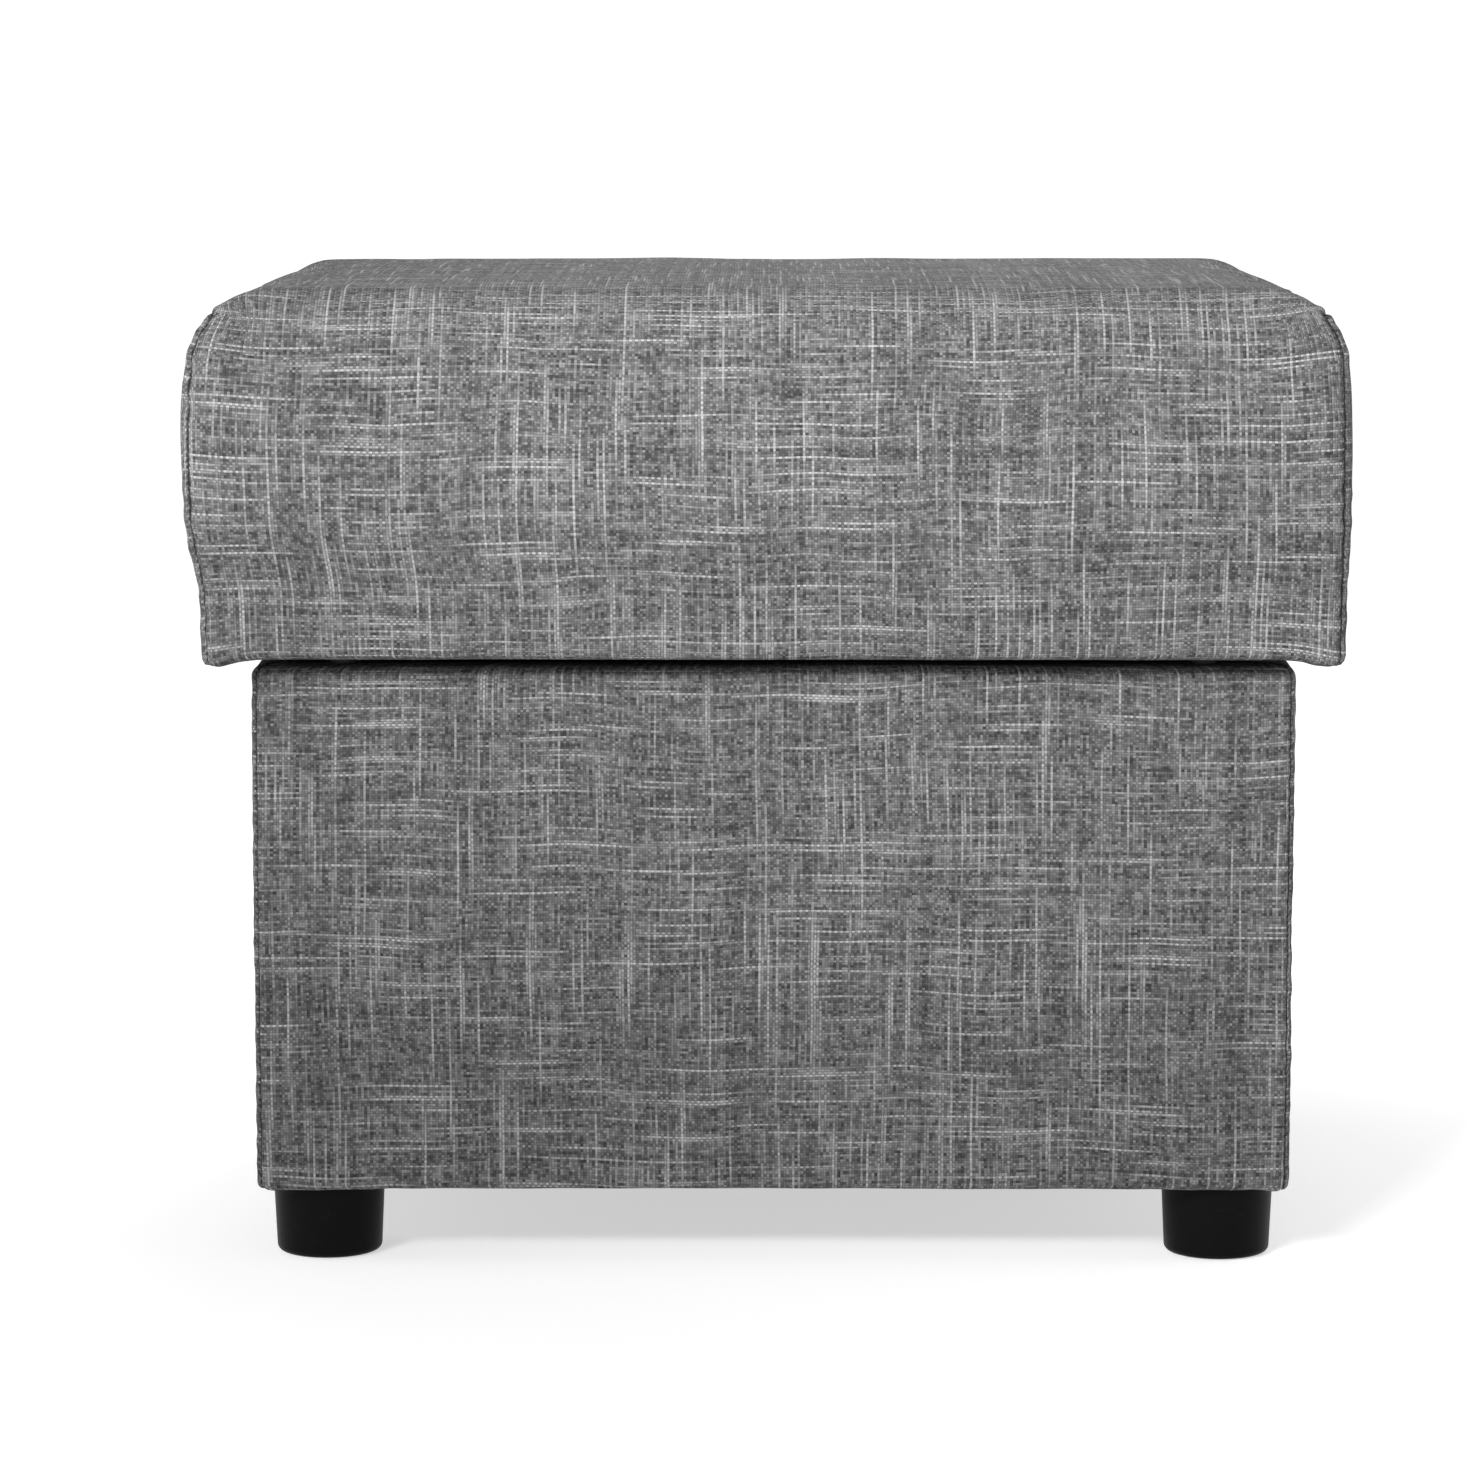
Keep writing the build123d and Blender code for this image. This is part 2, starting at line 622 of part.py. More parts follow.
def lid_upholstery():
    """Foam, the wadding round it and the fabric over all, turned in under the frame."""
    foam = foam_block()
    write(foam, "lid_foam")
    stuffed = cushion(FABRIC)
    with BuildPart() as wadding:
        add(stuffed.part)
        prism(LID_WOOD_X, LID_WOOD_Y, RAIL_BOTTOM, BOARD_TOP, LID_WOOD_CORNER, mode=Mode.SUBTRACT)
        add(foam.part, mode=Mode.SUBTRACT)
    write(wadding, "lid_wadding")
    outside = cushion(0.0)
    with BuildPart() as cover:
        add(outside.part)
        add(stuffed.part, mode=Mode.SUBTRACT)
        open_x, open_y = LID_FRAME_WIDTH / 2 - LID_UNDER_FLAP, LID_FRAME_DEPTH / 2 - LID_UNDER_FLAP
        prism(open_x, open_y, LID_COVER_BOTTOM, RAIL_BOTTOM, mode=Mode.SUBTRACT)
    write(cover, "lid_cover")


def lid_bumpers():
    """Soft buttons under the lid that keep it off the rim."""
    wall_x, wall_y = INNER_X + WALL / 2, INNER_Y + WALL / 2
    spots = [(x, -wall_y) for x in row(2, 380.0)] + [(x, 120.0) for x in (-wall_x, wall_x)]
    height = FLOOR_TO_LID - FLOOR_TO_RIM - BUMPER_LIFT
    with BuildPart() as bumpers:
        for x, y in spots:
            with BuildSketch(Plane((x, y, FLOOR_TO_LID), z_dir=(0, 0, -1))):
                Circle(BUMPER_RADIUS)
            extrude(amount=height, taper=8)
    write(bumpers, "lid_bumpers")


def near_hinge(x):
    """Whether a place along the back edge is under a hinge leaf."""
    return abs(abs(x) - HINGE_X) < (HINGE_LENGTH + STAPLE_CROWN) / 2 + 2


def main():
    os.makedirs("parts", exist_ok=True)
    box_walls()
    bottom_panel()
    corner_battens()
    screw_group(BASE_SCREW, base_screw_places(), "base_screws")
    base_padding()
    base_cover()
    base_lining()
    flap_x, flap_y = INNER_X - FABRIC, INNER_Y - FABRIC
    staple_group(upright_staple_places(flap_x, flap_y, 244.0, 8, 6, 48.0), "rim_staples")
    lined_x, lined_y = flap_x - LINING, flap_y - LINING
    staple_group(upright_staple_places(lined_x, lined_y, 256.0, 9, 7, 42.0), "lining_staples")
    dust_x, dust_y = BASE_WIDTH / 2 - DUST_COVER_MARGIN, BASE_DEPTH / 2 - DUST_COVER_MARGIN
    dust_cover(
        "base_dust_cover",
        dust_x,
        dust_y,
        FLOOR_TO_BASE,
        foot_screw_places(),
        FOOT_SCREW_RADIUS,
        FOOT_SCREW_LENGTH,
    )
    staple_group(
        underside_staple_places(dust_x - 3, dust_y - 3, FLOOR_TO_BASE, 7, 5, 50.0),
        "base_dust_cover_staples",
    )
    feet()
    foot_screws()
    for side, side_name in SIDES:
        for leaf in ("base", "lid"):
            hinge_leaf(side, side_name, leaf)
        hinge_pin(side, side_name)
    for leaf in ("base", "lid"):
        screw_group(LEAF_SCREW, leaf_screw_places(leaf), f"{leaf}_leaf_screws")
    lid_rails()
    lid_board()
    screw_group(BOARD_SCREW, board_screw_places(), "lid_board_screws")
    lid_upholstery()
    lid_x = LID_FRAME_WIDTH / 2 - DUST_COVER_MARGIN
    lid_y = LID_FRAME_DEPTH / 2 - DUST_COVER_MARGIN
    dust_cover(
        "lid_dust_cover",
        lid_x,
        lid_y,
        FLOOR_TO_LID,
        leaf_screw_places("lid"),
        LEAF_SCREW["shank"],
        LEAF_SCREW["length"],
    )
    staple_group(
        underside_staple_places(lid_x - 4, lid_y - 4, FLOOR_TO_LID, 10, 8, 44.0, near_hinge),
        "lid_dust_cover_staples",
    )
    lid_bumpers()


main()
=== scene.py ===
import math

import bmesh
import bpy
import numpy as np
from mathutils import Matrix, Vector, noise


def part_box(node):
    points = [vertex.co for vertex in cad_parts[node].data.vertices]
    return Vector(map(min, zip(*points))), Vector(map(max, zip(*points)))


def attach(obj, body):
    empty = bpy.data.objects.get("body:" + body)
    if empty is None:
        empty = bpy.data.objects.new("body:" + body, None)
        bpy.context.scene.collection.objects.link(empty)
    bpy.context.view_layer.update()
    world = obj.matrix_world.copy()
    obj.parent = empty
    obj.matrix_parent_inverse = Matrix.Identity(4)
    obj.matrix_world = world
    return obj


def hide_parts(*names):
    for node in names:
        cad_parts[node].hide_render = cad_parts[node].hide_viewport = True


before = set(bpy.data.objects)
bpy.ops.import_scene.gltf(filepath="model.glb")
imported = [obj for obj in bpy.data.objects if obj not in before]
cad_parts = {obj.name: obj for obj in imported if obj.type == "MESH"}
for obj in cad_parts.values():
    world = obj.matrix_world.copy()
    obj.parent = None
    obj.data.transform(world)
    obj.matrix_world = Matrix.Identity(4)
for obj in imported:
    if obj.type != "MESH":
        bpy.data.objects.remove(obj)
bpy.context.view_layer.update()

# Looks for the storage ottoman: its fabric covers, lining and dust covers are built here round the CAD
# model, and the CAD model's own boards, screws, hinges and feet get their materials. Metres throughout.

# ---- Cloth ----
WARP_PITCH = 0.00128  # upright threads, across the front
WEFT_PITCH = 0.00115
WARP_SLUBS = 13.0  # how often a thread changes from plain to slubbed, per metre
WEFT_SLUBS = 15.0
PALE_TONE = 0.35
STITCH_PITCH = 0.0031
FABRIC = 0.0013
NONWOVEN = 0.0005
CLOTH_SHIFT = 1.7  # moves each panel to its own part of the pattern
CLOTH_GRID = 0.0062  # the size of a cover's squares before they are made finer

# ---- Lid ----
LID_CORNER = 0.030  # how far a plan corner's rounding reaches, though it keeps nearly square
LID_CORNER_SQUARE = 8.0  # the power of its curve at the sides, 2 being a circle
LID_CORNER_SOFT = 3.6  # the same on top
LID_TOP_ROUND = 0.030
LID_HEM_ROUND = 0.003
LID_FLANGE = 0.025
LID_BULGE_LEFT = 0.0066
LID_BULGE_RIGHT = 0.0002
LID_BELLY = 0.0095  # front and back, fullest half-way up
LID_END_SWELL = 0.0045  # more at the middle of each end, between the corner seams
LID_CROWN = 0.0026
LID_DROOP = 0.0034  # how far the hem hangs at the corners
LID_HEM_SAG = 0.0011  # the same all round
LID_PARTING = 0.05  # above this height a point takes the top's rounding, and below it the hem's
LID_ROWS = 34
FOAM_START = 0.024  # above the lid's underside, where the foam begins to push the cloth out
FOAM_FULL = 0.062

# ---- Box ----
BASE_CORNER = 0.006
RIM_ROUND = 0.005
RIM_INNER_ROUND = 0.003
BASE_HEM_ROUND = 0.003


def smooth(x, start, end):
    """0 before start, 1 after end, and a smooth step between."""
    t = np.clip((x - start) / (end - start), 0.0, 1.0)
    return t * t * (3.0 - 2.0 * t)


def ripple(points, scale, seed):
    """A smooth random value from about -1 to 1 at each point."""
    shift = Vector((seed * 3.1, seed * 1.7, seed * 2.3))
    flat = points.reshape(-1, 3)
    values = [noise.noise(Vector(p) * scale + shift) for p in flat]
    return np.array(values).reshape(points.shape[:-1])


# ---- Shader nodes ----


class Shader:
    """A material, with short calls that add nodes to it. An input may be a socket or a plain number."""

    def __init__(self, name):
        self.material = bpy.data.materials.new(name)
        self.material.use_nodes = True
        self.tree = self.material.node_tree
        self.surface = self.tree.nodes["Principled BSDF"]

    def feed(self, socket, value):
        if isinstance(value, bpy.types.NodeSocket):
            self.tree.links.new(value, socket)
        else:
            socket.default_value = value

    def node(self, kind, inputs=(), **settings):
        made = self.tree.nodes.new(kind)
        for key, value in settings.items():
            setattr(made, key, value)
        for key, value in dict(inputs).items():
            self.feed(made.inputs[key], value)
        return made

    def maths(self, operation, *values):
        made = self.node("ShaderNodeMath", operation=operation)
        for socket, value in zip(made.inputs, values):
            self.feed(socket, value)
        return made.outputs[0]

    def vector(self, x=0.0, y=0.0, z=0.0):
        return self.node("ShaderNodeCombineXYZ", {"X": x, "Y": y, "Z": z}).outputs[0]

    def vector_maths(self, operation, *values):
        made = self.node("ShaderNodeVectorMath", operation=operation)
        for socket, value in zip(made.inputs, values):
            self.feed(socket, value)
        return made.outputs[0]

    def split(self, vector):
        made = self.node("ShaderNodeSeparateXYZ", {"Vector": vector})
        return made.outputs[0], made.outputs[1], made.outputs[2]

    def attribute(self, name):
        return self.node("ShaderNodeAttribute", attribute_name=name).outputs["Vector"]

    def object_place(self):
        return self.node("ShaderNodeTexCoord").outputs["Object"]

    def noise(self, vector, scale, detail=2.0, roughness=0.5, output="Fac"):
        inputs = {"Vector": vector, "Scale": scale, "Detail": detail, "Roughness": roughness}
        return self.node("ShaderNodeTexNoise", inputs).outputs[output]

    def white(self, vector):
        return self.node("ShaderNodeTexWhiteNoise", {"Vector": vector}).outputs["Value"]

    def ramp(self, factor, *stops):
        """Grey or colour stops, as (position, value)."""
        made = self.node("ShaderNodeValToRGB", {"Fac": factor})
        elements = made.color_ramp.elements
        while len(elements) < len(stops):
            elements.new(0.5)
        for element, (position, value) in zip(elements, stops):
            element.position = position
            element.color = (value, value, value, 1.0) if isinstance(value, float) else (*value, 1.0)
        return made.outputs["Color"]

    def step(self, value, start, end):
        inputs = {"Value": value, "From Min": start, "From Max": end}
        return self.node("ShaderNodeMapRange", inputs, interpolation_type="SMOOTHSTEP").outputs[0]

    def mix(self, factor, a, b):
        """Mixes two numbers."""
        made = self.node("ShaderNodeMix", data_type="FLOAT")
        self.feed(made.inputs[0], factor)
        self.feed(made.inputs[2], a)
        self.feed(made.inputs[3], b)
        return made.outputs[0]

    def tint(self, colour, factor):
        """A colour times a number."""
        made = self.node("ShaderNodeVectorMath", {0: colour}, operation="SCALE")
        self.feed(made.inputs["Scale"], factor)
        return made.outputs[0]

    def bump(self, height, distance, strength=1.0):
        inputs = {"Height": height, "Distance": distance, "Strength": strength}
        self.feed(self.surface.inputs["Normal"], self.node("ShaderNodeBump", inputs).outputs[0])

    def set(self, **values):
        for key, value in values.items():
            self.feed(self.surface.inputs[key.replace("_", " ")], value)


# ---- Materials ----


def thread_tone(shader, index, along, slub_rate, seed):
    """One set of threads: the tone of their light and dark parts, and how far each is a pale slub."""
    lane = shader.maths("MULTIPLY", index, 7.31)
    slub_place = shader.vector(lane, shader.maths("MULTIPLY", along, slub_rate), seed)
    pale = shader.step(shader.noise(slub_place, 1.0, detail=1.0), 0.54, 0.74)
    long_place = shader.vector(lane, shader.maths("MULTIPLY", along, slub_rate * 4.0), seed + 3.0)
    short_place = shader.vector(lane, shader.maths("MULTIPLY", along, slub_rate * 16.0), seed + 5.0)
    long = shader.noise(long_place, 1.0, detail=0.0)
    short = shader.noise(short_place, 1.0, detail=0.0)
    own = shader.white(shader.vector(lane, seed))
    tone = shader.maths("MULTIPLY_ADD", long, 0.34, shader.maths("MULTIPLY", short, 0.48))
    return shader.maths("MULTIPLY_ADD", own, 0.18, tone), pale


def thread_round(shader, thread):
    """1 along the middle of each thread, falling to 0 between two threads."""
    across = shader.maths("SUBTRACT", shader.maths("FRACT", thread), 0.5)
    return shader.maths("COSINE", shader.maths("MULTIPLY", across, math.pi))


def weave(shader, cloth):
    """The tone, with painted shade between the threads, and the relief of a plain weave with slubs both
    ways, in the cloth's own coordinates.
    """
    wander = shader.noise(cloth, 9.0, detail=2.0, output="Color")
    wander = shader.vector_maths("SUBTRACT", wander, (0.5, 0.5, 0.5))
    wander = shader.vector_maths("MULTIPLY", wander, (0.004, 0.011, 0.0))
    u, v, _ = shader.split(shader.vector_maths("ADD", cloth, wander))
    warp = shader.maths("DIVIDE", u, WARP_PITCH)
    weft = shader.maths("DIVIDE", v, WEFT_PITCH)
    warp_index = shader.maths("FLOOR", warp)
    weft_index = shader.maths("FLOOR", weft)
    warp_body, warp_pale = thread_tone(shader, warp_index, v, WARP_SLUBS, 1.0)
    weft_body, weft_pale = thread_tone(shader, weft_index, u, WEFT_SLUBS, 31.0)
    warp_round = thread_round(shader, warp)
    weft_round = thread_round(shader, weft)
    warp_over = shader.maths("FLOORED_MODULO", shader.maths("ADD", warp_index, weft_index), 2.0)

    body = shader.mix(shader.mix(warp_over, 0.22, 0.78), weft_body, warp_body)
    cell = shader.white(shader.vector(warp_index, weft_index, 0.0))
    body = shader.maths("MULTIPLY_ADD", shader.maths("SUBTRACT", cell, 0.5), 0.19, body)
    mottle = shader.noise(cloth, 320.0, detail=2.0, roughness=0.6)
    body = shader.maths("MULTIPLY_ADD", shader.maths("SUBTRACT", mottle, 0.5), 0.14, body)
    body = shader.ramp(body, (0.30, 0.025), (0.43, 0.056), (0.54, 0.095), (0.68, 0.165))
    between = shader.maths("MULTIPLY", warp_round, weft_round)
    # painted shade in the gaps between threads and painted light along their middles: the tone falls to
    # 0.78 between threads and rises to 1.20 on their crowns
    body = shader.maths("MULTIPLY", body, shader.mix(between, 0.78, 1.20))

    warp_seen = shader.maths("MULTIPLY", warp_pale, shader.mix(warp_over, 0.45, 0.85))
    warp_seen = shader.maths("MULTIPLY", warp_seen, shader.mix(warp_round, 0.15, 1.15))
    weft_seen = shader.maths("MULTIPLY", weft_pale, shader.mix(warp_over, 1.00, 0.40))
    weft_seen = shader.maths("MULTIPLY", weft_seen, shader.mix(weft_round, 0.15, 1.15))
    pale = shader.maths("MAXIMUM", warp_seen, weft_seen)
    tone = shader.mix(shader.maths("MULTIPLY", pale, shader.mix(cell, 0.7, 1.0)), body, PALE_TONE)
    relief = shader.maths("ADD", between, shader.maths("MULTIPLY", pale, 0.5))
    return tone, relief


def seam_painted_shade_and_puckers(shader):
    """Painted shade in each seam's crease, and the puckers that its stitches make beside it, with
    painted light and shade on them.
    """
    gap, along, _ = shader.split(shader.attribute("seam"))
    stitch = shader.maths("ADD", along, shader.maths("MULTIPLY", gap, 0.7))
    stitch = shader.maths("SINE", shader.maths("MULTIPLY", stitch, 2.0 * math.pi / STITCH_PITCH))
    near_seam = shader.maths("SUBTRACT", 1.0, shader.step(gap, 0.0006, 0.0034))
    pucker = shader.maths("MULTIPLY", near_seam, stitch)
    # painted shade: the tone darkens to 0.22 in the seam's crease
    shade = shader.mix(shader.step(gap, 0.0002, 0.0014), 0.22, 1.0)
    # painted light and shade: the puckers lighten and darken the tone by up to 0.30
    return shader.maths("MULTIPLY", shade, shader.maths("MULTIPLY_ADD", pucker, 0.30, 1.0)), pucker


def upholstery():
    """Grey linen-look cloth, with sewn seams where its panels meet."""
    shader = Shader("grey_linen_weave")
    tone, relief = weave(shader, shader.attribute("cloth"))
    shade, pucker = seam_painted_shade_and_puckers(shader)
    # the seams' painted shade and the puckers' painted light and shade go into the cloth's tone
    tone = shader.maths("MULTIPLY", tone, shade)
    shader.set(Base_Color=shader.vector(tone, tone, tone))
    shader.bump(shader.maths("ADD", relief, shader.maths("MULTIPLY", pucker, 1.2)), 0.00035, 0.8)
    shader.set(Roughness=0.95, Specular_IOR_Level=0.06, Sheen_Weight=0.03, Sheen_Roughness=0.7)
    return shader.material


def spunbond(name, tone):
    """Thin non-woven cloth: matted fibres with a grid of small pressed dots."""
    shader = Shader(name)
    place = shader.object_place()
    fibres = shader.noise(place, 900.0, detail=3.0, roughness=0.7)
    clouds = shader.noise(place, 60.0, detail=3.0)
    x, y, z = shader.split(place)
    pitch = 2.0 * math.pi / 0.0016
    first = shader.maths("SINE", shader.maths("MULTIPLY", shader.maths("ADD", x, z), pitch))
    second = shader.maths("SINE", shader.maths("MULTIPLY", shader.maths("ADD", y, z), pitch))
    dots = shader.step(shader.maths("MULTIPLY", first, second), 0.35, 0.8)
    level = shader.maths("MULTIPLY", shader.mix(fibres, 0.55, 1.45), shader.mix(clouds, 0.8, 1.2))
    level = shader.maths("MULTIPLY", level, shader.mix(dots, 1.0, 0.6))
    shader.set(Base_Color=shader.tint((tone, tone, tone * 1.04), level))
    shader.bump(shader.maths("SUBTRACT", fibres, shader.maths("MULTIPLY", dots, 0.6)), 0.0002, 0.7)
    shader.set(Roughness=0.85, Specular_IOR_Level=0.3, Sheen_Weight=0.1)
    return shader.material


def wadding():
    """White polyester fibre."""
    shader = Shader("polyester_wadding")
    place = shader.object_place()
    fibres = shader.noise(place, 420.0, detail=5.0, roughness=0.75)
    clumps = shader.noise(place, 45.0, detail=3.0)
    tone = shader.maths("MULTIPLY", shader.mix(fibres, 0.62, 1.05), shader.mix(clumps, 0.82, 1.05))
    shader.set(Base_Color=shader.tint((0.86, 0.86, 0.84), tone))
    shader.bump(fibres, 0.0008, 0.8)
    shader.set(Roughness=1.0, Specular_IOR_Level=0.1)
    return shader.material


def foam():
    """Open-cell upholstery foam."""
    shader = Shader("upholstery_foam")
    place = shader.object_place()
    cells = shader.node("ShaderNodeTexVoronoi", {"Vector": place, "Scale": 850.0}).outputs["Distance"]
    clouds = shader.noise(place, 25.0, detail=3.0)
    pores = shader.step(cells, 0.15, 0.6)
    # painted shade: the tone is darker in each pore's hollow
    tone = shader.maths("MULTIPLY", shader.mix(pores, 0.65, 1.0), shader.mix(clouds, 0.9, 1.05))
    shader.set(Base_Color=shader.tint((0.84, 0.76, 0.50), tone))
    shader.bump(pores, 0.0005, 0.8)
    shader.set(Roughness=0.95, Specular_IOR_Level=0.15)
    return shader.material


def timber(name, colour, length_axis):
    """Planed softwood with its grain along one axis."""
    shader = Shader(name)
    stretch = [9.0, 9.0, 9.0]
    stretch[length_axis] = 0.6
    place = shader.vector_maths("MULTIPLY", shader.object_place(), tuple(stretch))
    bend = shader.noise(place, 1.2, detail=3.0)
    rings = shader.maths("FRACT", shader.maths("MULTIPLY", bend, 14.0))
    late = shader.step(rings, 0.55, 0.98)
    pores = shader.noise(place, 60.0, detail=3.0, roughness=0.7)
    tone = shader.maths("MULTIPLY", shader.mix(late, 1.08, 0.72), shader.mix(pores, 0.86, 1.12))
    shader.set(Base_Color=shader.tint(colour, tone))
    shader.bump(shader.maths("ADD", pores, late), 0.00015, 0.5)
    shader.set(Roughness=0.68, Specular_IOR_Level=0.35)
    return shader.material


def chipboard():
    """Pressed wood chips."""
    shader = Shader("chipboard")
    place = shader.object_place()
    voronoi = shader.node("ShaderNodeTexVoronoi", {"Vector": place, "Scale": 330.0})
    chip, _, _ = shader.split(voronoi.outputs["Color"])
    dust = shader.noise(place, 700.0, detail=3.0)
    tone = shader.maths("MULTIPLY", shader.mix(chip, 0.66, 1.2), shader.mix(dust, 0.85, 1.12))
    shader.set(Base_Color=shader.tint((0.52, 0.38, 0.23), tone))
    shader.bump(shader.maths("ADD", chip, dust), 0.0002, 0.5)
    shader.set(Roughness=0.8, Specular_IOR_Level=0.3)
    return shader.material


def moulded_plastic():
    """Black moulded polypropylene with a fine satin texture and light scuffs."""
    shader = Shader("black_moulded_plastic")
    place = shader.object_place()
    spark = shader.noise(place, 1500.0, detail=2.0)
    flattened = shader.vector_maths("MULTIPLY", place, (1.0, 1.0, 3.0))
    scuff = shader.noise(flattened, 120.0, detail=4.0, roughness=0.7)
    marks = shader.step(scuff, 0.60, 0.72)
    tone = shader.mix(marks, 0.0025, 0.0065)
    shader.set(Base_Color=shader.vector(tone, tone, tone), Roughness=shader.mix(marks, 0.42, 0.6))
    shader.bump(shader.maths("ADD", spark, shader.maths("MULTIPLY", marks, 0.3)), 0.00006, 0.6)
    shader.set(Specular_IOR_Level=0.06)
    return shader.material


def rubber():
    """Soft matt black rubber."""
    shader = Shader("soft_rubber")
    grain = shader.noise(shader.object_place(), 900.0, detail=3.0)
    tone = shader.mix(grain, 0.016, 0.034)
    shader.set(Base_Color=shader.vector(tone, tone, tone), Roughness=0.75, Specular_IOR_Level=0.3)
    shader.bump(grain, 0.0001, 0.5)
    return shader.material


def plated_steel(name, colour, roughness):
    """Zinc-plated steel: fine rolling marks, a faint patchy bloom, and duller spots."""
    shader = Shader(name)
    place = shader.object_place()
    drawn_out = shader.vector_maths("MULTIPLY", place, (1.0, 18.0, 18.0))
    marks = shader.noise(drawn_out, 140.0, detail=4.0, roughness=0.7)
    bloom = shader.noise(place, 90.0, detail=4.0, roughness=0.6)
    tone = shader.maths("MULTIPLY", shader.mix(bloom, 0.78, 1.15), shader.mix(marks, 0.92, 1.08))
    shader.set(Base_Color=shader.tint(colour, tone), Metallic=1.0)
    shader.set(Roughness=shader.maths("MULTIPLY", shader.mix(bloom, 0.8, 1.3), roughness))
    shader.bump(marks, 0.00004, 0.4)
    return shader.material


# ---- Meshes from patches of grid ----


def patch_faces(rows, columns, start, turned):
    """Quads of one grid whose vertices begin at start."""
    index = np.arange(rows * columns).reshape(rows, columns) + start
    quads = np.stack([index[:-1, :-1], index[:-1, 1:], index[1:, 1:], index[1:, :-1]], axis=-1)
    quads = quads.reshape(-1, 4)
    return quads[:, ::-1] if turned else quads


def sewn_mesh(name, patches):
    """One mesh from several grids that meet at their edges. Each patch gives its points, their places on
    the cloth, how far each is from the nearest seam and along it, and whether its faces need turning."""
    points, cloth, seam, faces = [], [], [], []
    count = 0
    for patch in patches:
        rows, columns = patch["points"].shape[:2]
        faces.append(patch_faces(rows, columns, count, patch["turned"]))
        points.append(patch["points"].reshape(-1, 3))
        cloth.append(patch["cloth"].reshape(-1, 3))
        seam.append(patch["seam"].reshape(-1, 3))
        count += rows * columns
    points, cloth, seam, faces = (np.concatenate(part) for part in (points, cloth, seam, faces))
    mesh = bpy.data.meshes.new(name)
    mesh.from_pydata(points.tolist(), [], faces.tolist())
    for key, values in (("cloth", cloth), ("seam", seam)):
        layer = mesh.attributes.new(key, "FLOAT_VECTOR", "CORNER")
        layer.data.foreach_set("vector", values[faces.reshape(-1)].astype(np.float32).reshape(-1))
    weld(mesh)
    made = bpy.data.objects.new(name, mesh)
    bpy.context.scene.collection.objects.link(made)
    return made


def weld(mesh, distance=1e-5):
    """Joins vertices that lie on each other, turns every face outwards, and shades the mesh smooth."""
    work = bmesh.new()
    work.from_mesh(mesh)
    bmesh.ops.remove_doubles(work, verts=work.verts, dist=distance)
    bmesh.ops.recalc_face_normals(work, faces=work.faces)
    middle = sum((vertex.co for vertex in work.verts), Vector()) / len(work.verts)
    facing = sum((f.calc_center_median() - middle).dot(f.normal) * f.calc_area() for f in work.faces)
    if facing < 0.0:
        bmesh.ops.reverse_faces(work, faces=work.faces)
    for face in work.faces:
        face.smooth = True
    work.to_mesh(mesh)
    work.free()


def vertices(made):
    """The mesh's vertex positions as an array."""
    flat = np.empty(len(made.data.vertices) * 3)
    made.data.vertices.foreach_get("co", flat)
    return flat.reshape(-1, 3)


def move_vertices(made, places):
    """Puts the mesh's vertices at new places."""
    made.data.vertices.foreach_set("co", places.reshape(-1))
    made.data.update()


def outward(made):
    """Each vertex's normal as an array."""
    flat = np.empty(len(made.data.vertices) * 3)
    made.data.vertex_normals.foreach_get("vector", flat)
    return flat.reshape(-1, 3)


def corner_means(made, key):
    """A corner attribute's value at each vertex, the mean over the corners that meet there."""
    mesh = made.data
    values = np.empty(len(mesh.loops) * 3, dtype=np.float32)
    mesh.attributes[key].data.foreach_get("vector", values)
    owners = np.empty(len(mesh.loops), dtype=np.int32)
    mesh.loops.foreach_get("vertex_index", owners)
    total = np.zeros((len(mesh.vertices), 3))
    np.add.at(total, owners, values.reshape(-1, 3))
    return total / np.bincount(owners, minlength=len(mesh.vertices))[:, None]


def apply_modifiers(made):
    """Replaces the object's mesh by what its modifiers make of it."""
    graph = bpy.context.evaluated_depsgraph_get()
    done = bpy.data.meshes.new_from_object(made.evaluated_get(graph))
    made.modifiers.clear()
    made.data = done


def subdivide(made):
    """Makes a mesh once finer and smoother."""
    modifier = made.modifiers.new("finer", "SUBSURF")
    modifier.levels = 1
    modifier.render_levels = 1
    modifier.boundary_smooth = "PRESERVE_CORNERS"
    apply_modifiers(made)


def thicken(made, thickness, offset=-1.0):
    """Turns a single layer of cloth into a closed sheet."""
    modifier = made.modifiers.new("thickness", "SOLIDIFY")
    modifier.thickness = thickness
    modifier.offset = offset
    modifier.use_even_offset = False
    apply_modifiers(made)


def finish_piece(made, material, body, slot, *nodes):
    """Gives a piece its material and body, and hides the CAD nodes it stands for; slot is not used."""
    made.data.materials.clear()
    made.data.materials.append(material)
    for polygon in made.data.polygons:
        polygon.use_smooth = True
    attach(made, body)
    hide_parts(*nodes)


# ---- Lid ----


def spaced(half, step, fine=(0.0015, 0.0035, 0.006, 0.0095, 0.0140)):
    """Positions from -half to half, about step apart, and closer together at both ends."""
    inner = half - fine[-1]
    count = max(2, round(2 * inner / step))
    middle = np.linspace(-inner, inner, count + 1)
    edge = half - np.array((0.0, *fine[:-1]))
    return np.concatenate([-edge, middle, edge[::-1]])


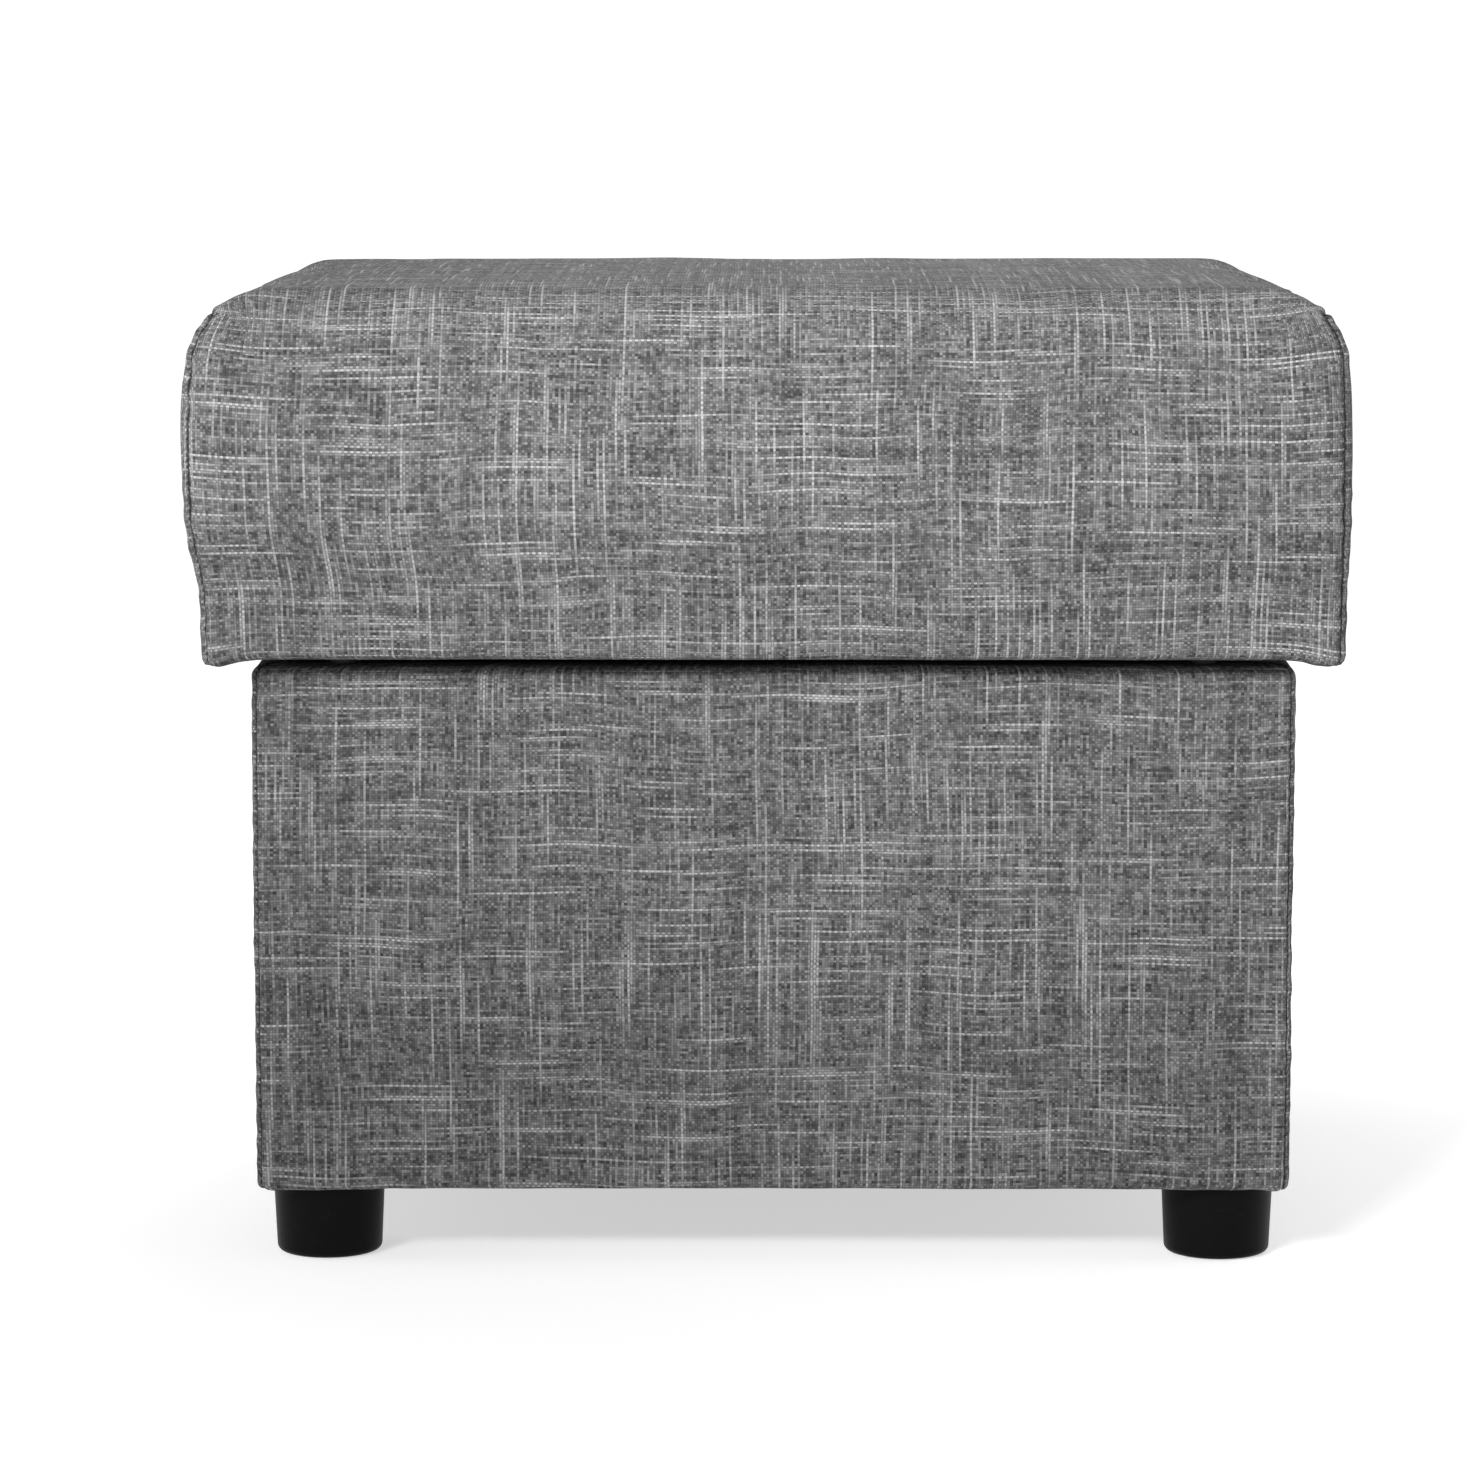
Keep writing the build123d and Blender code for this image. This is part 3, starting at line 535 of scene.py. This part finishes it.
class LidShape:
    """The lid's outer form. Places are first given on a plain box, then rounded and swollen."""

    def __init__(self):
        low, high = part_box("lid_cover")
        rail_low, rail_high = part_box("lid_front_rail")
        cover_gap = 0.004  # of wadding and fabric outside the rails
        self.half_x = rail_high[0] + cover_gap
        self.half_y = -rail_low[1] + cover_gap
        self.bottom, self.top = low[2], high[2]

    def place(self, x, y, z):
        """Rounds and swells points of the plain box's surface."""
        flat_inset = np.minimum(self.half_x - np.abs(x), self.half_y - np.abs(y))
        inset, z = self.round_profile(flat_inset, z)
        place = np.stack([*self.round_plan(x, y, flat_inset, inset), z], axis=-1)
        height = z - self.bottom
        self.swell(place, height, x / self.half_x, y / self.half_y)
        self.hang(place, height, x, y)
        return place

    def round_profile(self, inset, z):
        """Rounds the top edge and the hem. Gives the new distances in from the sides, and heights."""
        upper = z > self.bottom + LID_PARTING
        radius = np.where(upper, LID_TOP_ROUND, LID_HEM_ROUND)
        level = np.where(upper, z - self.top + radius, self.bottom + radius - z)
        inward = np.clip(1.0 - inset / radius, 0.0, 1.0)
        upward = np.clip(level / radius, 0.0, 1.0)
        size = np.maximum(np.hypot(inward, upward), 1.0)
        rounded = np.where(inset < radius, radius * (1.0 - inward / size), inset)
        drop = radius * (upward - upward / size)
        return rounded, np.where(upper, z - drop, z + drop)

    def round_plan(self, x, y, flat_inset, inset):
        """Rounds the corners as seen from above: nearly square at the sides, rounder on top."""
        on_top = smooth(inset, 0.0, LID_TOP_ROUND)
        square = LID_CORNER_SQUARE + (LID_CORNER_SOFT - LID_CORNER_SQUARE) * on_top
        flat_corner = np.maximum(LID_CORNER - flat_inset, 1e-6)
        corner = np.maximum(LID_CORNER - inset, 0.0)
        core_x = np.clip(x, LID_CORNER - self.half_x, self.half_x - LID_CORNER)
        core_y = np.clip(y, LID_CORNER - self.half_y, self.half_y - LID_CORNER)
        core_x = np.where(flat_inset < LID_CORNER, core_x, x)
        core_y = np.where(flat_inset < LID_CORNER, core_y, y)
        way_x, way_y = (x - core_x) / flat_corner, (y - core_y) / flat_corner
        reach = (np.abs(way_x) ** square + np.abs(way_y) ** square) ** (1.0 / square)
        reach = np.maximum(reach, 1.0)
        return core_x + corner * way_x / reach, core_y + corner * way_y / reach

    def swell(self, place, height, share_x, share_y):
        """Pushes the faces out by the foam. The shares run from -1 to 1 over the width and the depth."""
        fullness = smooth(height, FOAM_START, FOAM_FULL) * (0.80 + 0.20 * smooth(height, 0.045, 0.095))
        fullness *= 1.0 - 0.28 * smooth(height, 0.100, 0.150)
        across_x = np.clip(1.0 - np.abs(share_x) ** 5, 0.0, 1.0)
        across_y = np.clip(1.0 - share_y**2, 0.0, 1.0)
        belly = np.clip(1.0 - ((height - 0.080) / 0.082) ** 2, 0.0, 1.0) * (0.6 + 0.4 * across_x)
        side = np.where(place[..., 0] < 0, LID_BULGE_LEFT, LID_BULGE_RIGHT)
        place[..., 0] *= 1.0 + side * fullness / self.half_x
        place[..., 1] *= 1.0 + LID_BELLY * belly / self.half_y
        place[..., 0] += LID_END_SWELL * across_y * fullness * share_x**5
        on_top = smooth(place[..., 2], self.top - 0.010, self.top)
        place[..., 2] += LID_CROWN * across_x * across_y * on_top

    def hang(self, place, height, x, y):
        """Lets the hem hang a little, and more at the corners."""
        near_end = smooth(np.abs(x), self.half_x - 0.027, self.half_x - 0.002)
        near_corner = near_end * smooth(np.abs(y), self.half_y - 0.027, self.half_y - 0.002)
        place[..., 2] -= LID_DROOP * near_corner * (1.0 - smooth(height, 0.0, 0.022))
        place[..., 2] -= LID_HEM_SAG * (1.0 - smooth(height, 0.0, 0.030))

    def strip(self):
        """Front, top and back in one length of cloth, turned under at both ends."""
        across = spaced(self.half_x, CLOTH_GRID)
        tall = self.top - self.bottom
        rise = np.linspace(0.0, tall, LID_ROWS)
        run = spaced(self.half_y, CLOTH_GRID)
        tuck = np.linspace(LID_FLANGE, 0.0, 6)
        path = [(-self.half_y + t, self.bottom, t) for t in tuck[:-1]]
        path += [(-self.half_y, self.bottom + r, 0.0) for r in rise[:-1]]
        path += [(y, self.top, 0.0) for y in run[:-1]]
        path += [(self.half_y, self.top - r, 0.0) for r in rise[:-1]]
        path += [(self.half_y - t, self.bottom, t) for t in tuck[::-1]]
        y, z, inset = (np.array(part)[:, None] for part in zip(*path))
        x = across[None, :] * (self.half_x - inset) / self.half_x
        y, z = np.broadcast_to(y, x.shape), np.broadcast_to(z, x.shape)
        points = self.place(x, y, z)
        steps = np.linalg.norm(np.diff(points[:, len(across) // 2], axis=0), axis=1)
        along = np.concatenate([[0.0], np.cumsum(steps)])[:, None] + np.zeros_like(x)
        cloth = np.stack([np.broadcast_to(across[None, :], x.shape), along, np.zeros_like(x)], axis=-1)
        gap = self.half_x - np.abs(cloth[..., 0])
        seam = np.stack([gap, along, np.zeros_like(x)], axis=-1)
        return {"points": points, "cloth": cloth, "seam": seam, "turned": False}

    def end_panel(self, side):
        """The panel sewn into one end, turned under at the bottom."""
        run = spaced(self.half_y, CLOTH_GRID)
        tall = self.top - self.bottom
        rise = np.linspace(0.0, tall, LID_ROWS)
        tuck = np.linspace(LID_FLANGE, 0.0, 6)
        path = [(t, self.bottom) for t in tuck[:-1]] + [(0.0, self.bottom + r) for r in rise]
        inset, z = (np.array(part)[:, None] for part in zip(*path))
        y = run[None, :] * (self.half_y - inset) / self.half_y
        x = side * (self.half_x - inset) + np.zeros_like(y)
        z = np.broadcast_to(z, y.shape)
        up = np.concatenate([-tuck[:-1], rise])[:, None] + np.zeros_like(y)
        broad = np.broadcast_to(run[None, :], y.shape)
        cloth = np.stack([broad + side * CLOTH_SHIFT, up, np.zeros_like(y)], axis=-1)
        to_side = self.half_y - np.abs(broad)
        to_top = tall - up
        beside = np.where(to_side < to_top, up, broad)
        seam = np.stack([np.minimum(to_side, to_top), beside, np.zeros_like(y)], axis=-1)
        return {"points": self.place(x, y, z), "cloth": cloth, "seam": seam, "turned": side > 0}


def inflate(made, fixed, give):
    """Blows a cover up a little from inside, so that it pulls tight between its seams. fixed is each
    vertex's hold, from 0 to 1, and give is the furthest that a vertex may move."""
    start = vertices(made)
    group = made.vertex_groups.new(name="held")
    for index, hold in enumerate(fixed):
        if hold > 0.0:
            group.add([index], float(hold), "REPLACE")
    cloth = made.modifiers.new("cloth", "CLOTH")
    settings = cloth.settings
    settings.quality = 6
    settings.mass = 0.25
    settings.tension_stiffness = 25.0
    settings.compression_stiffness = 25.0
    settings.shear_stiffness = 12.0
    settings.bending_stiffness = 1.5
    settings.use_pressure = True
    settings.uniform_pressure_force = 3.0
    settings.effector_weights.gravity = 0.0
    settings.vertex_group_mass = "held"
    settings.pin_stiffness = 1.0
    settings.shrink_min = -0.012
    cloth.collision_settings.use_collision = False
    scene = bpy.context.scene
    cloth.point_cache.frame_start = 1
    cloth.point_cache.frame_end = 20
    for number in range(1, 21):
        scene.frame_set(number)
    graph = bpy.context.evaluated_depsgraph_get()
    settled = bpy.data.meshes.new_from_object(made.evaluated_get(graph))
    flat = np.empty(len(settled.vertices) * 3)
    settled.vertices.foreach_get("co", flat)
    bpy.data.meshes.remove(settled)
    made.modifiers.clear()
    made.vertex_groups.clear()
    scene.frame_set(1)
    shift = flat.reshape(-1, 3) - start
    length = np.linalg.norm(shift, axis=1, keepdims=True)
    shift *= give * np.tanh(length / give) / np.maximum(length, 1e-9)
    move_vertices(made, start + shift)


def sew_in(made, depth=0.0007, ridge=0.0005, soft=0.0005, seed=3.0):
    """Draws the cloth in along its seams, with a raised allowance beside them and small puckers."""
    places = vertices(made)
    normal = outward(made)
    seam = corner_means(made, "seam")
    gap, along = seam[:, 0], seam[:, 1]
    groove = -depth * np.exp(-((gap / 0.0016) ** 2))
    allowance = ridge * np.exp(-(((gap - 0.0055) / 0.0030) ** 2))
    uneven = ripple(places, 70.0, seed)
    gather = np.sin(along * 2.0 * math.pi / 0.0115 + 5.0 * ripple(places, 25.0, seed + 1.0))
    pucker = soft * gather * np.exp(-((gap / 0.011) ** 2)) * (0.6 + uneven)
    move = groove + allowance * (1.0 + 0.8 * uneven) + pucker
    move_vertices(made, places + normal * move[:, None])


def lid_cover(material):
    """The lid's fabric cover."""
    shape = LidShape()
    made = sewn_mesh("lid_fabric_cover", [shape.strip(), shape.end_panel(-1), shape.end_panel(1)])
    places = vertices(made)
    hold = 1.0 - smooth(places[:, 2], shape.bottom + 0.018, shape.bottom + 0.045)
    hold = np.maximum(hold, np.where(corner_means(made, "seam")[:, 0] < 0.0005, 0.35, 0.0))
    inflate(made, hold, 0.0022)
    subdivide(made)
    sew_in(made)
    places = vertices(made)
    height = places[:, 2] - shape.bottom
    soft = 0.0006 * ripple(places, 14.0, 8.0) + 0.00035 * ripple(places, 38.0, 5.0)
    soft *= 1.0 - 0.7 * (1.0 - smooth(height, 0.0, 0.006))
    move_vertices(made, places + outward(made) * soft[:, None])
    inner = made.copy()
    inner.data = made.data.copy()
    inner.name = "lid_wadding_layer"
    bpy.context.scene.collection.objects.link(inner)
    thicken(made, FABRIC)
    finish_piece(made, material, "lid", "upholstery", "lid_cover")
    return inner, shape


def lid_wadding(inner, shape, material):
    """The layer of wadding just inside the cover, down to the timber frame."""
    mesh = inner.data
    work = bmesh.new()
    work.from_mesh(mesh)
    low = [vertex for vertex in work.verts if vertex.co.z < shape.bottom + 0.004]
    bmesh.ops.delete(work, geom=low, context="VERTS")
    work.to_mesh(mesh)
    work.free()
    move_vertices(inner, vertices(inner) - outward(inner) * (FABRIC + 0.0004))
    thicken(inner, 0.0006)
    finish_piece(inner, material, "lid", "wadding", "lid_wadding")


# ---- Box ----


def quarter_turn(radius, count):
    """Points round the quarter turn that joins two faces, each as its distances from the two."""
    turn = np.linspace(0.0, math.pi / 2, count)[1:]
    return [(radius * (1 - math.cos(a)), radius * (1 - math.sin(a))) for a in turn]


class BoxShape:
    """The box's cover as a section carried round the box."""

    def __init__(self):
        low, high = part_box("base_cover_front_panel")
        self.half_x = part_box("base_cover_right_panel")[1][0]
        self.half_y = -low[1]
        self.bottom, self.top = low[2], high[2]
        inner_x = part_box("base_right_wall")[0][0] - FABRIC
        self.thick = self.half_x - inner_x
        self.flap = self.top - 0.034
        self.tuck = 0.020

    def section(self):
        """(distance in from the outside, height) pairs: up inside, over the rim, down and underneath."""
        inside = [(self.thick, z) for z in np.linspace(self.flap, self.top - RIM_INNER_ROUND, 7)]
        inner = [(self.thick - a, self.top - b) for a, b in quarter_turn(RIM_INNER_ROUND, 5)]
        rim = [(t, self.top) for t in np.linspace(self.thick - RIM_INNER_ROUND, RIM_ROUND, 4)[1:]]
        outer = [(b, self.top - a) for a, b in quarter_turn(RIM_ROUND, 7)]
        face = [(0.0, z) for z in np.linspace(self.top - RIM_ROUND, self.bottom + 0.008, 42)[1:]]
        face += [(0.0, self.bottom + z) for z in (0.0055, BASE_HEM_ROUND)]
        hem = [(a, self.bottom + b) for a, b in quarter_turn(BASE_HEM_ROUND, 5)]
        under = [(t, self.bottom) for t in np.linspace(BASE_HEM_ROUND, self.tuck, 4)[1:]]
        return np.array(inside + inner + rim + outer + face + hem + under)

    def panel(self, axis, side):
        """One panel: axis 0 is a left or right side, axis 1 the front or back."""
        section = self.section()
        half = self.half_x if axis == 1 else self.half_y
        across = spaced(half, CLOTH_GRID, fine=(0.001, 0.0025, 0.0042, 0.0065, 0.0100))
        inset, z = section[:, 0][:, None], section[:, 1][:, None]
        flat = across[None, :] * (half - inset) / half
        deep = side * ((self.half_y if axis == 1 else self.half_x) - inset) + np.zeros_like(flat)
        x, y = (flat, deep) if axis == 1 else (deep, flat)
        z = np.broadcast_to(z, flat.shape)
        radius = np.maximum(BASE_CORNER - inset, 0.0008)
        edge_x, edge_y = self.half_x - inset - radius, self.half_y - inset - radius
        core_x, core_y = np.clip(x, -edge_x, edge_x), np.clip(y, -edge_y, edge_y)
        way = np.stack([x - core_x, y - core_y], axis=-1)
        way /= np.maximum(np.linalg.norm(way, axis=-1, keepdims=True), 1e-9)
        place = np.stack([core_x + way[..., 0] * radius, core_y + way[..., 1] * radius, z], axis=-1)
        steps = np.linalg.norm(np.diff(section, axis=0), axis=1)
        along = np.concatenate([[0.0], np.cumsum(steps)])[:, None] + np.zeros_like(flat)
        broad = np.broadcast_to(across[None, :], flat.shape)
        shift = CLOTH_SHIFT * (3 + axis + 2 * side)
        cloth = np.stack([broad + shift, -along, np.zeros_like(flat)], axis=-1)
        seam = np.stack([half - np.abs(broad), along, np.zeros_like(flat)], axis=-1)
        return {"points": place, "cloth": cloth, "seam": seam, "turned": (side > 0) != (axis == 1)}


def base_cover(material):
    """The box's fabric cover."""
    shape = BoxShape()
    panels = [shape.panel(axis, side) for axis in (0, 1) for side in (-1, 1)]
    made = sewn_mesh("base_fabric_cover", panels)
    subdivide(made)
    sew_in(made, depth=0.0008, ridge=0.0003, soft=0.0003, seed=12.0)
    places = vertices(made)
    height = places[:, 2] - shape.bottom
    outside = np.abs(places[:, 0]) > shape.half_x - 0.007
    outside = outside | (np.abs(places[:, 1]) > shape.half_y - 0.007)
    soft = 0.00045 * ripple(places, 13.0, 21.0) + 0.0003 * ripple(places, 45.0, 23.0)
    soft *= np.where(outside, 1.0, 0.3)
    places += outward(made) * soft[:, None]
    bunch = smooth(np.abs(places[:, 0]), 0.140, 0.200) * (1.0 - smooth(height, 0.0, 0.010))
    places[:, 2] -= 0.0007 * bunch * (1.0 + ripple(places * np.array([1.0, 1.0, 0.1]), 95.0, 31.0))
    move_vertices(made, places)
    thicken(made, FABRIC)
    names = [f"base_cover_{name}_panel" for name in ("front", "back", "left", "right")]
    finish_piece(made, material, "base", "upholstery", *names)


def plain_patch(points, turned=False):
    """A patch with no weave and no seam near it."""
    blank = np.zeros_like(points)
    far = blank + np.array([1.0, 0.0, 0.0])
    return {"points": points, "cloth": blank, "seam": far, "turned": turned}


def notched_outline(x, y, notch_x, notch_y):
    """Closely spaced points round a rectangle whose four corners are cut out square."""
    turns = [(x, -notch_y), (x, notch_y), (notch_x, notch_y), (notch_x, y), (-notch_x, y)]
    turns += [(-notch_x, notch_y), (-x, notch_y), (-x, -notch_y), (-notch_x, -notch_y)]
    turns += [(-notch_x, -y), (notch_x, -y), (notch_x, -notch_y), (x, -notch_y)]
    loop = []
    for (ax, ay), (bx, by) in zip(turns, turns[1:]):
        count = max(2, round(math.hypot(bx - ax, by - ay) / 0.008))
        loop += [(ax + (bx - ax) * i / count, ay + (by - ay) * i / count) for i in range(count)]
    loop.append(loop[0])
    return np.array(loop)


def lining(material):
    """The black lining: walls folded round the battens, and a floor, with slack wrinkles."""
    low, high = (np.array(corner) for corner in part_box("base_lining"))
    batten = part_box("corner_batten_front_left")
    clear = low[0] - batten[0][0]
    notch_x, notch_y = -(batten[1][0] + clear), -(batten[1][1] + clear)
    loop = notched_outline(high[0], high[1], notch_x, notch_y)
    levels = np.linspace(low[2] + 0.0004, high[2], 28)
    wall = np.empty((len(levels), len(loop), 3))
    wall[..., :2] = loop[None]
    wall[..., 2] = levels[:, None]
    floor_z = levels[0]
    shares = np.append(np.linspace(0.0, 0.94, 24), 0.98)
    floor = np.full((len(shares), len(loop), 3), floor_z)
    floor[..., :2] = shares[:, None, None] * loop[None]
    made = sewn_mesh("base_lining_cloth", [plain_patch(np.concatenate([floor, wall]))])
    subdivide(made)
    places = vertices(made)
    inward = -places * np.array([1.0, 1.0, 0.0])
    inward /= np.maximum(np.linalg.norm(inward, axis=1, keepdims=True), 1e-9)
    tall = smooth(places[:, 2], floor_z, floor_z + 0.03)
    tall = tall * (1.0 - smooth(places[:, 2], high[2] - 0.02, high[2]))
    fold = ripple(places * np.array([1.0, 1.0, 0.35]), 26.0, 41.0)
    drag = ripple(places * np.array([1.0, 1.0, 0.8]), 70.0, 43.0)
    move = 0.0009 * np.clip(fold + 0.35 * drag + 0.3, 0.0, 1.0) * tall
    places += inward * move[:, None]
    flat = 1.0 - smooth(places[:, 2], floor_z, floor_z + 0.004)
    places[:, 2] += 0.0008 * np.clip(ripple(places, 22.0, 47.0) + 0.3, 0.0, 1.0) * flat
    move_vertices(made, places)
    thicken(made, NONWOVEN, offset=0.0)
    finish_piece(made, material, "base", "lining", "base_lining")


def dust_cover(name, node, body, material):
    """A thin black sheet stretched over an underside, with slight waves between its staples."""
    low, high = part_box(node)
    xs = np.linspace(low[0], high[0], 96)
    ys = np.linspace(low[1], high[1], 78)
    x, y = np.meshgrid(xs, ys)
    points = np.stack([x, y, np.full(x.shape, high[2] - NONWOVEN)], axis=-1)
    made = sewn_mesh(name, [plain_patch(points, turned=True)])
    places = vertices(made)
    edge = np.minimum(high[0] - np.abs(places[:, 0]), high[1] - np.abs(places[:, 1]))
    waves = 0.0004 * ripple(places, 45.0, 53.0) * smooth(edge, 0.003, 0.015)
    places[:, 2] -= np.clip(waves, -0.0002, 0.0004)
    move_vertices(made, places)
    thicken(made, NONWOVEN, offset=1.0)
    finish_piece(made, material, body, "dust_cover", node)


# ---- CAD nodes that stay ----


def dress_frame(materials):
    """Materials for the CAD nodes that show as they are."""
    for name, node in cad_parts.items():
        for start, material in materials:
            if name.startswith(start):
                node.data.materials.clear()
                node.data.materials.append(material)
                break


# ---- Stage ----

LENS_MM = 129.6
CAMERA_PLACE = Vector((0.0029, -2.5125, 0.531))
PITCH = math.radians(7.24)
YAW = math.radians(0.43)
FLOOR_REACH = 60.0


def camera():
    """The photographer's view: nearly straight on, from a little above the seat."""
    data = bpy.data.cameras.new("camera")
    data.lens = LENS_MM
    data.sensor_width = 36.0
    made = bpy.data.objects.new("camera", data)
    right = Vector((math.cos(YAW), math.sin(YAW), 0.0))
    ahead = Vector((-math.sin(YAW) * math.cos(PITCH), math.cos(YAW) * math.cos(PITCH), -math.sin(PITCH)))
    turn = Matrix((right, right.cross(ahead), -ahead)).transposed()
    made.matrix_world = Matrix.Translation(CAMERA_PLACE) @ turn.to_4x4()
    bpy.context.scene.collection.objects.link(made)
    bpy.context.scene.camera = made


def soft_light(name, place, target, size, power, spread):
    """A rectangular lamp at place, turned to target, that the camera doesn't see."""
    data = bpy.data.lights.new(name, "AREA")
    data.shape = "RECTANGLE"
    data.size, data.size_y = size
    data.energy = power
    data.spread = math.radians(spread)
    made = bpy.data.objects.new(name, data)
    made.location = place
    made.visible_camera = False
    made.rotation_euler = (Vector(target) - Vector(place)).to_track_quat("-Z", "Y").to_euler()
    bpy.context.scene.collection.objects.link(made)


def glowing_floor():
    """A floor that runs out of sight and glows with painted light, weaker near the object and stronger
    away from it.
    """
    mesh = bpy.data.meshes.new("floor")
    level = -0.0004  # just under the feet, so that the two don't share a plane
    edge = [(x * FLOOR_REACH, y * FLOOR_REACH, level) for x, y in ((-1, -1), (1, -1), (1, 1), (-1, 1))]
    mesh.from_pydata(edge, [], [(0, 1, 2, 3)])
    floor = bpy.data.objects.new("floor", mesh)
    bpy.context.scene.collection.objects.link(floor)
    shader = Shader("glowing_floor")
    shader.set(Base_Color=(0.62, 0.62, 0.62, 1.0), Roughness=0.9, Specular_IOR_Level=0.1)
    shader.set(Emission_Color=(1.0, 1.0, 1.0, 1.0))
    distance = shader.node("ShaderNodeVectorMath", {0: shader.object_place()}, operation="LENGTH")
    far = shader.step(distance.outputs["Value"], 0.22, 0.72)
    # painted light: the floor's glow, weaker within 0.22 m of the middle and full beyond 0.72 m, which
    # leaves the floor darker round the object
    shader.set(Emission_Strength=shader.mix(far, 0.56, 0.86))
    mesh.materials.append(shader.material)


def surround():
    """A white world that is brightest near the horizon."""
    world = bpy.data.worlds.new("studio")
    world.use_nodes = True
    tree = world.node_tree
    direction = tree.nodes.new("ShaderNodeTexCoord").outputs["Generated"]
    split = tree.nodes.new("ShaderNodeSeparateXYZ")
    tree.links.new(direction, split.inputs[0])
    fade = tree.nodes.new("ShaderNodeMapRange")
    fade.interpolation_type = "SMOOTHSTEP"
    tree.links.new(split.outputs["Z"], fade.inputs["Value"])
    for socket, value in (("From Min", 0.03), ("From Max", 0.40), ("To Min", 1.05), ("To Max", 0.31)):
        fade.inputs[socket].default_value = value
    tree.links.new(fade.outputs[0], tree.nodes["Background"].inputs["Strength"])
    tree.nodes["Background"].inputs["Color"].default_value = (1.0, 1.0, 1.0, 1.0)
    bpy.context.scene.world = world


def stage():
    """The floor, the surround and four soft lights."""
    glowing_floor()
    surround()
    bpy.context.scene.view_settings.view_transform = "Standard"
    soft_light("key_light", (-0.75, -1.60, 1.18), (-0.02, -0.2, 0.56), (0.9, 0.6), 6.2, 36.0)
    soft_light("rear_light", (0.4, 2.1, 0.75), (0.0, 0.2, 0.30), (1.2, 0.7), 4.0, 70.0)
    soft_light("left_light", (-2.0, 0.0, 0.7), (-0.2, 0.0, 0.30), (0.9, 0.6), 2.0, 90.0)
    soft_light("right_light", (2.0, 0.0, 0.7), (0.2, 0.0, 0.30), (0.9, 0.6), 2.0, 90.0)


def main():
    cloth = upholstery()
    black_lining = spunbond("black_lining", 0.022)
    black_dust_cover = spunbond("black_dust_cover", 0.017)
    fibre = wadding()
    zinc = plated_steel("zinc_plated_hinge", (0.36, 0.37, 0.38), 0.42)
    yellow_zinc = plated_steel("zinc_plated_screw", (0.40, 0.33, 0.18), 0.35)
    wire = plated_steel("galvanised_wire", (0.44, 0.44, 0.45), 0.35)
    dress_frame(
        [
            ("base_screws", yellow_zinc),
            ("foot_screws", yellow_zinc),
            ("base_leaf_screws", yellow_zinc),
            ("lid_leaf_screws", yellow_zinc),
            ("lid_board_screws", yellow_zinc),
            ("hinge_", zinc),
            ("foot_", moulded_plastic()),
            ("lid_bumpers", rubber()),
            ("rim_staples", wire),
            ("lining_staples", wire),
            ("base_dust_cover_staples", wire),
            ("lid_dust_cover_staples", wire),
            ("base_padding", fibre),
            ("lid_foam", foam()),
            ("lid_board", timber("plywood_board", (0.66, 0.50, 0.32), 0)),
            ("lid_front_rail", timber("softwood_long", (0.68, 0.50, 0.31), 0)),
            ("lid_back_rail", timber("softwood_long_back", (0.66, 0.49, 0.31), 0)),
            ("lid_left_rail", timber("softwood_short", (0.68, 0.51, 0.33), 1)),
            ("lid_right_rail", timber("softwood_short_right", (0.67, 0.49, 0.30), 1)),
            ("corner_batten", timber("softwood_batten", (0.67, 0.50, 0.31), 2)),
            ("base_", chipboard()),
        ]
    )
    inner, shape = lid_cover(cloth)
    lid_wadding(inner, shape, fibre)
    base_cover(cloth)
    lining(black_lining)
    dust_cover("base_dust_sheet", "base_dust_cover", "base", black_dust_cover)
    dust_cover("lid_dust_sheet", "lid_dust_cover", "lid", black_dust_cover)
    camera()
    stage()


main()
